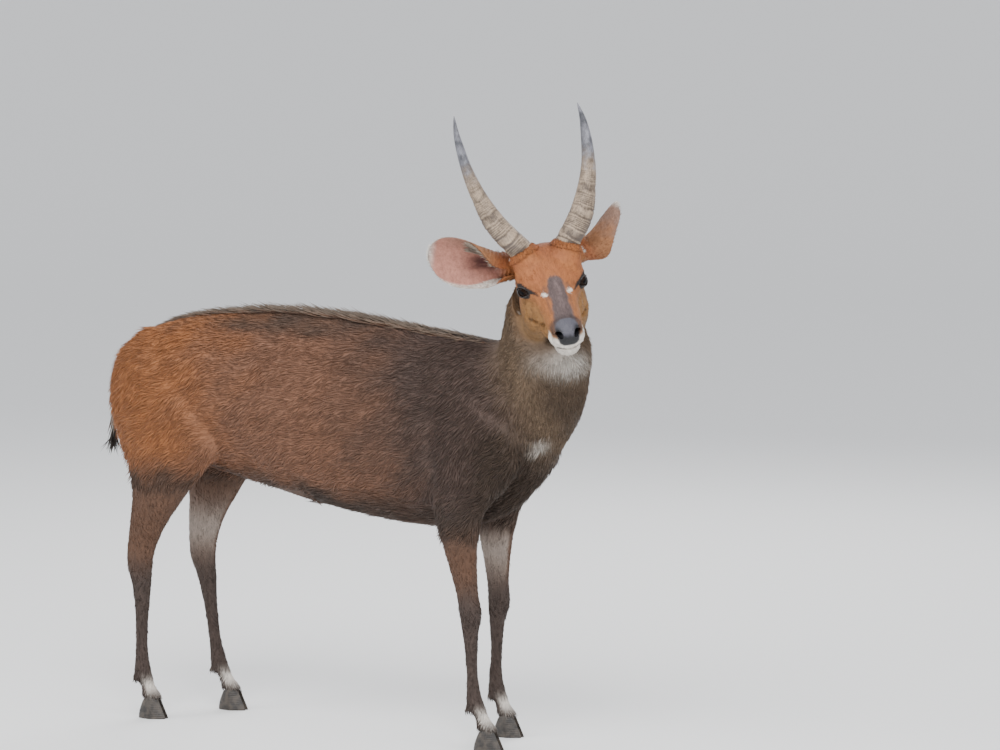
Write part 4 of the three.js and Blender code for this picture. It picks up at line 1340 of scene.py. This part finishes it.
def trunk_quarter(side, rear):
    """Picks the points of one side of the trunk, before or behind its middle."""

    def chosen(p):
        beside, behind = p[:, 1] < 0, p[:, 0] < TRUNK_MIDDLE
        return on_trunk(p) & (beside == (side < 0)) & (behind == rear)

    return chosen


def on_neck(p):
    return neck_share(p) >= 0.5


def on_legs(p):
    return (leg_share(p) >= 0.5) & (p[:, 0] > -790)


def on_face(p):
    return (head_share(p) >= 0.5) & (ear_places(p) < 0)


SHARE_OF_TUFTS = 1.0
# Length, width, thickness, lean and droop of the tufts
REAR_RIGHT, FRONT_RIGHT = (27, 2.6, 0.9, 0.16, 0.06), (25, 2.5, 0.9, 0.17, 0.06)
REAR_LEFT, FRONT_LEFT = (27, 2.8, 0.9, 0.16, 0.06), (25, 2.7, 0.9, 0.17, 0.06)
COATS = [
    # name, slot, region, tufts to a square centimetre, their sizes and the unwrap
    ("trunk_right_rear", "coat", trunk_quarter(-1, True), 6.0, REAR_RIGHT, round_trunk),
    ("trunk_right_front", "coat", trunk_quarter(-1, False), 6.0, FRONT_RIGHT, round_trunk),
    ("trunk_left_rear", "coat", trunk_quarter(1, True), 5.0, REAR_LEFT, round_trunk),
    ("trunk_left_front", "coat", trunk_quarter(1, False), 5.0, FRONT_LEFT, round_trunk),
    ("neck_coat", "neck_coat", on_neck, 12.0, (17, 1.7, 0.7, 0.16, 0.05), round_neck),
    ("leg_coat", "leg_coat", on_legs, 7.0, (12, 1.7, 0.6, 0.12, 0.05), round_legs),
    ("face_coat", "face", on_face, 16.0, (8, 1.1, 0.4, 0.14, 0.05), round_head),
]
for number, (name, slot, region, amount, shape, unwrap) in enumerate(COATS):
    def keep(p, region=region):
        return region(p) & clear_of_coat(p)

    roots, normals = roots_on(skin, lambda p: amount * SHARE_OF_TUFTS, 40 + number, keep)
    ways = coat_lie(roots, normals)
    colours = coat_colours(roots, normals)
    sizes = [*shape, 0.8]
    piece = tuft_mesh(name, roots, normals, ways, sizes, colours, unwrap(roots), 60 + number)
    dressed(piece)

# Crest, brush of the tail, and the hair of the ears
# A ram raises a crest of long pale-tipped hair along its spine. The tail is bushy, brown above,
# white below and black at the tip, and long pale hairs grow inside the front edge of each ear.
CREST_HAIR = np.array([0.045, 0.033, 0.026])
CREST_TIP = np.array([0.30, 0.23, 0.17])


def crest_arch(x):
    """Nought at both ends of the crest and one at the middle of the back."""
    return np.sin(math.pi * np.clip((x + 715) / 735, 0, 1)) ** 0.7


roots, normals = roots_on(
    skin,
    lambda p: 9.0 + 0 * p[:, 0],
    81,
    lambda p: (p[:, 2] > 725) & (np.abs(p[:, 1]) < 17) & (p[:, 0] > -715) & (p[:, 0] < 12),
)
ways = unit(np.array([-1, 0, -0.05]) - normals * (normals @ [-1, 0, -0.05])[:, None])
arch = crest_arch(roots[:, 0])
sizes = [26 + 30 * arch, 2.6, 1.1, 0.16 + 0.2 * arch, 0.07, 1.5]
colours = CREST_HAIR + (FLANK - CREST_HAIR) * smooth_step(9, 17, np.abs(roots[:, 1]))[:, None] * 0.5
crest = tuft_mesh("crest", roots, normals, ways, sizes, colours, round_trunk(roots), 82, CREST_TIP)
dressed(crest)

roots, normals = roots_on(skin, lambda p: 12.0 + 0 * p[:, 0], 83, lambda p: p[:, 0] < -789)
nearest = np.argmin(((roots[:, None] - dock_at(np.linspace(0, 1, 40))[None]) ** 2).sum(-1), axis=1)
along = unit(np.gradient(dock_at(np.linspace(0, 1, 40)), axis=0))[nearest]
ways = unit(along - 0.85 * normals * (along * normals).sum(1)[:, None])
under = smooth_step(0.0, 0.5, normals[:, 0])
colours = np.tile(FLANK * 0.8, (len(roots), 1))
colours = painted(colours, WHITE_HAIR, under)
colours = painted(colours, CREST_HAIR * 0.6, smooth_step(575, 545, roots[:, 2]))
lengths = 20 + 20 * smooth_step(690, 620, roots[:, 2])
unwrap = np.stack([roots[:, 2], np.arctan2(normals[:, 1], normals[:, 0]) * 12], -1)
tail = tuft_mesh("tail_hair", roots, normals, ways, [lengths, 2.6, 1.0, 0.13, 0.06, 0.8], colours, unwrap, 84)
dressed(tail)


def ear_off(points):
    """Place across the nearer ear, from the lower or hinder edge at -1 to the upper one at 1."""
    local = to_head(points)
    places = np.clip(ear_places(points), 0, 1)
    half = spaced(EAR_WIDTHS, places * (len(EAR_WIDTHS) - 1))[:, 0]
    off = np.zeros(len(points))
    for root, tip, face in EARS.values():
        across = ear_axes(root, tip, face)[2]
        here = np.sign(local[:, 1]) == np.sign(root[1])
        off = np.where(here, (local - root) @ across / half * np.sign(across[2]), off)
    return off


def round_ears(points):
    local = to_head(points)
    return np.stack([local[:, 1], ear_off(points) * 40], -1)


EAR_HAIR = [
    # name, tufts to a square centimetre, sizes, colour, seed, and where on the ear
    ("ear_fur", 14.0, (6, 0.9, 0.35, 0.12, 0.05, 0.3), None, 91, lambda place, off, inside: inside < 0.4),
    (
        "ear_fringe",
        14.0,
        (17, 1.1, 0.5, 0.30, 0.1, 0.3),
        np.array([0.30, 0.25, 0.20]),
        92,
        lambda place, off, inside: (inside > 0.6) & (off > 0.25) & (place > 0.25) & (place < 0.58),
    ),
    (
        "ear_rim",
        26.0,
        (6, 0.9, 0.4, 0.2, 0.05, 0.3),
        WHITE_HAIR,
        93,
        lambda place, off, inside: np.maximum(np.abs(off), place) > 0.955,
    ),
]
for name, amount, sizes, colour, seed, where in EAR_HAIR:
    roots, normals = roots_on(
        skin, lambda p: amount + 0 * p[:, 0], seed, lambda p: ear_places(p) > 0.17
    )
    places, off, inside = ear_places(roots), ear_off(roots), ear_inside(roots, normals)
    chosen = where(places, off, inside)
    if name == "ear_fringe":
        chosen = chosen & (to_head(roots)[:, 1] < 0)
    roots, normals, off = roots[chosen], normals[chosen], off[chosen]
    ways = coat_lie(roots, normals)
    if name == "ear_fringe":
        ways = unit(ways - np.cross(normals, ways) * 0.5)
    colours = ear_colours(roots, normals) if colour is None else np.tile(colour, (len(roots), 1))
    piece = tuft_mesh(name, roots, normals, ways, sizes, colours, round_ears(roots), seed)
    dressed(piece)

# Horns: a twisted sheath of horn over bone
# The lower part is tan with rough wavy ridges and a dark keel that winds round it, and the upper
# part is worn smooth and dark. The left horn is worn a little shorter than the right.
HORN_AXIS = np.array(
    [
        [0, 0, 0],
        [-38, 33, 42],
        [-80, 57, 86],
        [-118, 70, 132],
        [-148, 75, 172],
        [-168, 73, 205],
    ]
)
HORN_SHARES = {1: 0.915, -1: 0.975}
HORN_TURN_IN = {1: 8, -1: 0}
HORN_BOW = {1: 3, -1: 0}
HORN_STOUT = {1: 0.12, -1: 0}
HORN_ROWS, HORN_COLUMNS = 240, 60


def horn_path(side):
    path = HORN_AXIS * [HORN_SHARES[side], 1, HORN_SHARES[side]]
    height = HORN_AXIS[:, 2] / HORN_AXIS[-1, 2]
    path[:, 1] += HORN_BOW[side] * np.sin(math.pi * height) - HORN_TURN_IN[side] * height**2
    return (path + HORN_BASE) * [1, side, 1]


def even_path(path, places):
    """Points at even steps along a smooth line through a path."""
    fine = spaced(path, np.linspace(0, len(path) - 1, 600))
    run = np.concatenate([[0], np.cumsum(np.linalg.norm(np.diff(fine, axis=0), axis=1))])
    return np.stack([np.interp(places * run[-1], run, fine[:, k]) for k in range(3)], -1)


def horn_piece(name, side):
    places = np.linspace(0, 1, HORN_ROWS)
    path = even_path(horn_path(side), places)
    along = unit(np.gradient(path, axis=0))
    path[0] -= along[0] * 15
    draw = np.random.default_rng(31 + side)
    turn = np.linspace(0, 2 * math.pi, HORN_COLUMNS, endpoint=False)
    wobble = 0.8 * np.sin(turn + 1) + 0.4 * np.sin(2 * turn + draw.uniform(0, 6)) + 0.25 * np.sin(5 * turn)
    ridge_at = places * 44 + 1.1 * np.sin(places * 37 + side)
    rings, keels, ridges = [], [], []
    for s, centre, way, at in zip(places, path, along, ridge_at):
        out = unit(np.array([0, side, 0]) - way * way[1] * side)
        front = np.cross(out, way) * side
        stout = 1 + HORN_STOUT[side] * min(1.0, s / 0.4)
        radius = HORN_RADIUS * stout * (1 - s) ** 0.66 * (1 - 0.14 * s) + 0.6
        off = np.cos(turn - math.radians(20 + 300 * s))
        foot = min(1.0, s / 0.05)
        keel = 1 + 0.24 * foot * np.maximum(0, off) ** 5 - 0.04 * np.maximum(0, -off)
        rough = max(0.0, 1 - s / 0.64) ** 0.6
        wave = np.sin(at * 2 * math.pi + wobble * 2.0)
        ridge = np.sign(wave) * np.abs(wave) ** 0.7 + 0.35 * np.sin(at * 5.3 * math.pi + wobble * 3.1)
        flutes = 0.22 * np.sin(9 * turn + 14 * s) + 0.12 * np.sin(17 * turn - 9 * s)
        tall = 0.72 * (0.55 + 0.75 * np.maximum(0, off) + 0.25 * np.sin(3 * turn + 8 * s))
        r = radius * keel + rough * (tall * ridge + flutes) - 0.7
        r = np.maximum(r, 0.15) * (0.8 if s == 0 else 1)
        rings.append(centre + np.outer(r * np.cos(turn), front) + np.outer(r * 0.88 * np.sin(turn), out))
        keels.append(np.maximum(0, off) ** 2)
        # Height of the ridges, which the horn's colour also uses for painted shade in the grooves
        ridges.append(np.clip(0.5 + 0.45 * ridge * rough, 0, 1))
    points, faces = in_body(loft(np.array(rings)))
    piece = outward(new_object(name, points, faces))
    for polygon in piece.data.polygons:
        polygon.use_smooth = True
    around = np.stack([np.tile(np.cos(turn), HORN_ROWS), np.tile(np.sin(turn), HORN_ROWS)], -1) * 0.2
    grain = np.column_stack([around, np.repeat(places, HORN_COLUMNS)])
    add_values(piece, "grain", np.concatenate([grain, [[0, 0, 0], [0, 0, 1]]]))
    add_values(piece, "rise", np.concatenate([grain[:, 2], [0, 1]]))
    add_values(piece, "keel", np.concatenate([np.array(keels).ravel(), [0, 0]]))
    add_values(piece, "ridge", np.concatenate([np.array(ridges).ravel(), [0, 0]]))
    return piece


def horn_material():
    material, shader, start = new_material("horn_sheath")
    rise = attribute(start, "rise", "Fac")
    keel = attribute(start, "keel", "Fac")
    around = attribute(start, "grain", "Vector")
    ridge = attribute(start, "ridge", "Fac")
    rings = noise(start, around, 55, 4, 0.65)
    blotches = noise(start, start, 60, 3)
    grit = noise(start, start, 900, 2)
    # Painted shade: the grooves between the ridges are painted darker and their crests paler
    pale = (rings * 0.6 + blotches * 0.4 + ridge * 0.22).between(0.42, 0.8)
    tan = pale.mixed((0.065, 0.044, 0.03), (0.36, 0.27, 0.19))
    dark = (keel + (blotches - 0.5) * 0.9 - ridge * 0.5).between(0.25, 0.95)
    base = dark.mixed(tan, (0.085, 0.062, 0.048))
    slate = (blotches * 0.6 + rings * 0.5).between(0.4, 0.75).mixed((0.035, 0.036, 0.042), (0.21, 0.21, 0.24))
    worn = (rise + (blotches - 0.5) * 0.3).between(0.52, 0.7)
    colour = worn.mixed(base, slate)
    link(start, colour, shader, "Base Color")
    link(start, 0.6 - worn * 0.3 + (grit - 0.5) * 0.1, shader, "Roughness")
    bumped(start, (rings + grit * 0.25) * (1 - worn * 0.85), 0.55, 0.0015, shader)
    return material


horn_sheath = horn_material()
for name, side in (("horn_left", 1), ("horn_right", -1)):
    horn = horn_piece(name + "_sheath", side)
    horn.data.materials.append(horn_sheath)
    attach(horn, "root")
    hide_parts(name)

# Tufts that close round the foot of each horn
COLLAR_TUFTS = 900
draw = np.random.default_rng(94)
ring_roots, ring_normals, ring_ways = [], [], []
for side in (1, -1):
    low, high = mirrored(HORN_SEAT, side), mirrored(HORN_BASE, side)
    way = unit(high - low)
    across = unit(np.cross(way, [1, 0, 0]))
    turn = draw.uniform(0, 2 * math.pi, COLLAR_TUFTS)
    spokes = np.outer(np.cos(turn), across) + np.outer(np.sin(turn), np.cross(way, across))
    out = draw.uniform(0, 1, COLLAR_TUFTS)[:, None]
    ring_roots.append(high + spokes * (HORN_RADIUS + 1 + 5.5 * out) + way * (-1 - 9 * out))
    ring_normals.append(unit(spokes * 0.5 + way * 0.5))
    ring_ways.append(way + spokes * 0.3 - np.array([0.5, 0, 0]) + draw.normal(0, 0.25, (COLLAR_TUFTS, 3)))
roots = from_head(np.concatenate(ring_roots))
normals = np.concatenate(ring_normals) @ HEAD_AXES
ways = np.concatenate(ring_ways) @ HEAD_AXES
ways = unit(ways - normals * (ways * normals).sum(1)[:, None])
colours = coat_colours(roots, normals) * draw.uniform(0.6, 1.25, (len(roots), 1))
unwrap = to_head(roots)[:, :2]
collar = tuft_mesh("horn_collar", roots, normals, ways, [9, 1.2, 0.5, 0.35, 0.08, 1.0], colours, unwrap, 95)
dressed(collar)

# Eyes: large dark globes with a level pupil, and the dark wet edge of the lids
# The globe is set deep under the brow and shines like glass.
def eye_piece(name, side):
    axes = eye_axes(side)
    centre = mirrored(EYE_CENTRE, side)
    turn = np.linspace(0, 2 * math.pi, 72, endpoint=False)
    falls = np.concatenate([[0.015], np.linspace(0.04, math.pi - 0.04, 60)])
    rings = []
    for fall in falls:
        bulge = 0.9 * smooth_step(0.62, 0.2, fall)
        around = np.sin(fall) * np.stack([np.cos(turn), np.sin(turn)], -1)
        ring = np.column_stack([around, np.full(72, math.cos(fall))])
        rings.append(ring * (EYE_RADIUS - 0.15 + bulge))
    local = np.array(rings)
    points, faces = loft(local @ axes + centre)
    piece = outward(new_object(name, from_head(points), faces))
    for polygon in piece.data.polygons:
        polygon.use_smooth = True
    flat = np.concatenate([local.reshape(-1, 3), local[:1].mean(1), local[-1:].mean(1)])
    pupil = smooth_step(1.12, 0.9, np.hypot(flat[:, 0] / 7.2, flat[:, 1] / 3.4)) * (flat[:, 2] > 0)
    iris = smooth_step(12.5, 11, np.hypot(flat[:, 0], flat[:, 1])) * (flat[:, 2] > 0)
    add_values(piece, "pupil", pupil)
    add_values(piece, "iris", iris)
    return piece


def eye_material():
    material, shader, start = new_material("wet_eye")
    pupil = attribute(start, "pupil", "Fac")
    iris = attribute(start, "iris", "Fac")
    fibres = noise(start, start, 500, 3)
    brown = fibres.between(0.3, 0.7).mixed((0.006, 0.003, 0.002), (0.018, 0.008, 0.004))
    white = iris.mixed((0.008, 0.005, 0.004), brown)
    link(start, pupil.mixed(white, (0.001, 0.001, 0.0015)), shader, "Base Color")
    shader.inputs["Roughness"].default_value = 0.09
    shader.inputs["IOR"].default_value = 1.36
    shader.inputs["Specular IOR Level"].default_value = 0.12
    return material


wet_eye = eye_material()
for name, side in (("eye_left", 1), ("eye_right", -1)):
    eye = eye_piece(name + "_globe", side)
    eye.data.materials.append(wet_eye)
    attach(eye, "root")
    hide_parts(name)


def tube(path, radius, count=10):
    """A round cord of skin along a closed path."""
    along = unit(np.roll(path, -1, axis=0) - np.roll(path, 1, axis=0))
    middle = path.mean(0)
    out = unit(path - middle)
    out = unit(out - along * (out * along).sum(1)[:, None])
    other = np.cross(along, out)
    turn = np.linspace(0, 2 * math.pi, count, endpoint=False)
    rings = path[:, None] + radius * (
        np.cos(turn)[None, :, None] * out[:, None] + np.sin(turn)[None, :, None] * other[:, None]
    )
    rows = len(path)
    place = np.arange(rows * count).reshape(rows, count)
    beside, above = np.roll(place, -1, axis=1), np.roll(place, -1, axis=0)
    faces = np.stack([place, beside, np.roll(beside, -1, axis=0), above], -1).reshape(-1, 4)
    return rings.reshape(-1, 3), faces.tolist()


lid_skin, lid_shader, lid_start = new_material("lid_skin")
lid_tone = noise(lid_start, lid_start, 800, 2).between(0.3, 0.7)
link(lid_start, lid_tone.mixed((0.010, 0.008, 0.007), (0.028, 0.02, 0.017)), lid_shader, "Base Color")
lid_shader.inputs["Roughness"].default_value = 0.35
for name, side in (("lid_edge_left", 1), ("lid_edge_right", -1)):
    flat = np.array(EYE_OUTLINE)
    reach = EYE_RADIUS + 1.6
    depth = np.sqrt(np.maximum(reach**2 - (flat**2).sum(1), 4.0))
    path = np.column_stack([flat, depth]) @ eye_axes(side) + mirrored(EYE_CENTRE, side)
    edge = outward(new_object(name, *in_body(tube(path, 1.15))))
    edge.data.materials.append(lid_skin)
    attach(edge, "root")

# Hooves: two pointed claws of dark horn to each foot
# Each has a flat sole, a straight inner wall and fine growth rings below the hair line.
CLAW_HEEL, CLAW_TOE, CLAW_HALF, CLAW_APART = -25, 31, 9.3, 10.2
# Height as a share of the hair line's, and how far the toe, the heel and the sides have drawn in
CLAW_ROWS = [
    (0, 1.5, 0.5, 0.95),
    (0.04, 0, 0, 1),
    (0.2, 2.5, 0.5, 1),
    (0.4, 6, 2, 0.98),
    (0.6, 9.5, 4.5, 0.94),
    (0.8, 13, 7.5, 0.88),
    (0.95, 15.5, 10, 0.8),
    (1.08, 19, 14, 0.62),
    (1.2, 24, 20, 0.3),
]


def claw_form(x, y, outward_side):
    """A claw with a pointed toe, a straight inner wall and a bulging outer one."""
    turn = np.linspace(0, 2 * math.pi, 48, endpoint=False)
    along = (1 + np.cos(turn)) / 2
    narrow = np.minimum(1, 0.2 + 1.5 * (1 - along) ** 0.8)
    rings = []
    for share, toe_in, heel_in, wide in CLAW_ROWS:
        toe, heel = CLAW_TOE - toe_in, CLAW_HEEL + heel_in
        across = CLAW_HALF * wide * np.sin(turn) * narrow
        middle = y - outward_side * CLAW_HALF * 0.75 * (1 - narrow)
        height = np.full(48, CLAW_TOP * share)
        rings.append(np.stack([x + heel + (toe - heel) * along, middle + across, height], -1))
    return loft(np.array(rings))


claws, claw_nodes = [], []
for name, (rows, side, ahead) in LEGS.items():
    x, y, z = rows[-1][:3]
    x += ahead * max(0, 1 - (z + 0.3) / STANCE_TOP)
    for place, way in (("inner", -1), ("outer", 1)):
        claws.append(claw_form(x, side * (y + way * CLAW_APART), side * way))
        claw_nodes.append(f"claw_{name}_{place}")
hooves = joined_forms("hooves", claws)
hoof_horn, hoof_shader, hoof_start = new_material("hoof_horn")
height = hoof_start.out(hoof_start.node("ShaderNodeSeparateXYZ", _0=hoof_start), "Z")
wear = noise(hoof_start, hoof_start, 90, 4)
growth = height * 1900 + wear * 5
rings = growth.maths("SINE", growth)
hoof_colour = wear.between(0.3, 0.75).mixed((0.018, 0.015, 0.013), (0.075, 0.06, 0.048))
link(hoof_start, hoof_colour, hoof_shader, "Base Color")
link(hoof_start, wear * 0.4 + 0.25, hoof_shader, "Roughness")
bumped(hoof_start, rings * 0.5 + wear, 0.35, 0.0008, hoof_shader)
hooves.data.materials.append(hoof_horn)
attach(hooves, "root")
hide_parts(*claw_nodes)


# Floor and light
# A pale floor that is flat for ten metres and then curves up like a bowl, under broad soft lamps,
# the main one high before the animal's right side.
reach = np.concatenate([[0.5, 4], 10 + 5 * np.sin(np.linspace(0, math.pi / 2, 14))])
rise = np.concatenate([[0, 0], 5 * (1 - np.cos(np.linspace(0, math.pi / 2, 14)))])
turn = np.linspace(0, 2 * math.pi, 96, endpoint=False)
circle = np.stack([np.cos(turn), np.sin(turn), 0 * turn], -1)
rings = np.array([circle * r + [0, 0, h] for r, h in zip(reach, rise)])
points, faces = loft(rings)
floor_mesh = bpy.data.meshes.new("floor")
floor_mesh.from_pydata(points.tolist(), [], faces[:-96])
for face in floor_mesh.polygons:
    face.use_smooth = True
floor = bpy.data.objects.new("floor", floor_mesh)
bpy.context.scene.collection.objects.link(floor)
floor_material, floor_shader, floor_start = new_material("floor")
floor_shader.inputs["Base Color"].default_value = (0.9, 0.9, 0.89, 1)
floor_shader.inputs["Roughness"].default_value = 0.8
floor_mesh.materials.append(floor_material)
floor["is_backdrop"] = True

LAMPS = [
    # place, size and power
    ((0.9, -2.6, 3.4), 2.2, 150),
    ((3.2, -1.2, 1.8), 2.0, 45),
    ((-2.8, -2.4, 2.2), 2.4, 50),
    ((-0.6, 3.0, 2.8), 2.4, 70),
]
for place, size, power in LAMPS:
    lamp_data = bpy.data.lights.new("lamp", "AREA")
    lamp_data.size = size
    lamp_data.energy = power
    lamp = bpy.data.objects.new("lamp", lamp_data)
    lamp.location = place
    lamp.rotation_euler = (Vector((0, 0, 0.6)) - Vector(place)).to_track_quat("-Z", "Y").to_euler()
    bpy.context.scene.collection.objects.link(lamp)
world = bpy.data.worlds.new("studio")
world.use_nodes = True
world.node_tree.nodes["Background"].inputs[0].default_value = (0.93, 0.95, 1.0, 1)
world.node_tree.nodes["Background"].inputs[1].default_value = 0.95
bpy.context.scene.world = world

size = {"cad": [list(corner) for corner in cad_bounds], "visual": [list(corner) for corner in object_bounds()]}
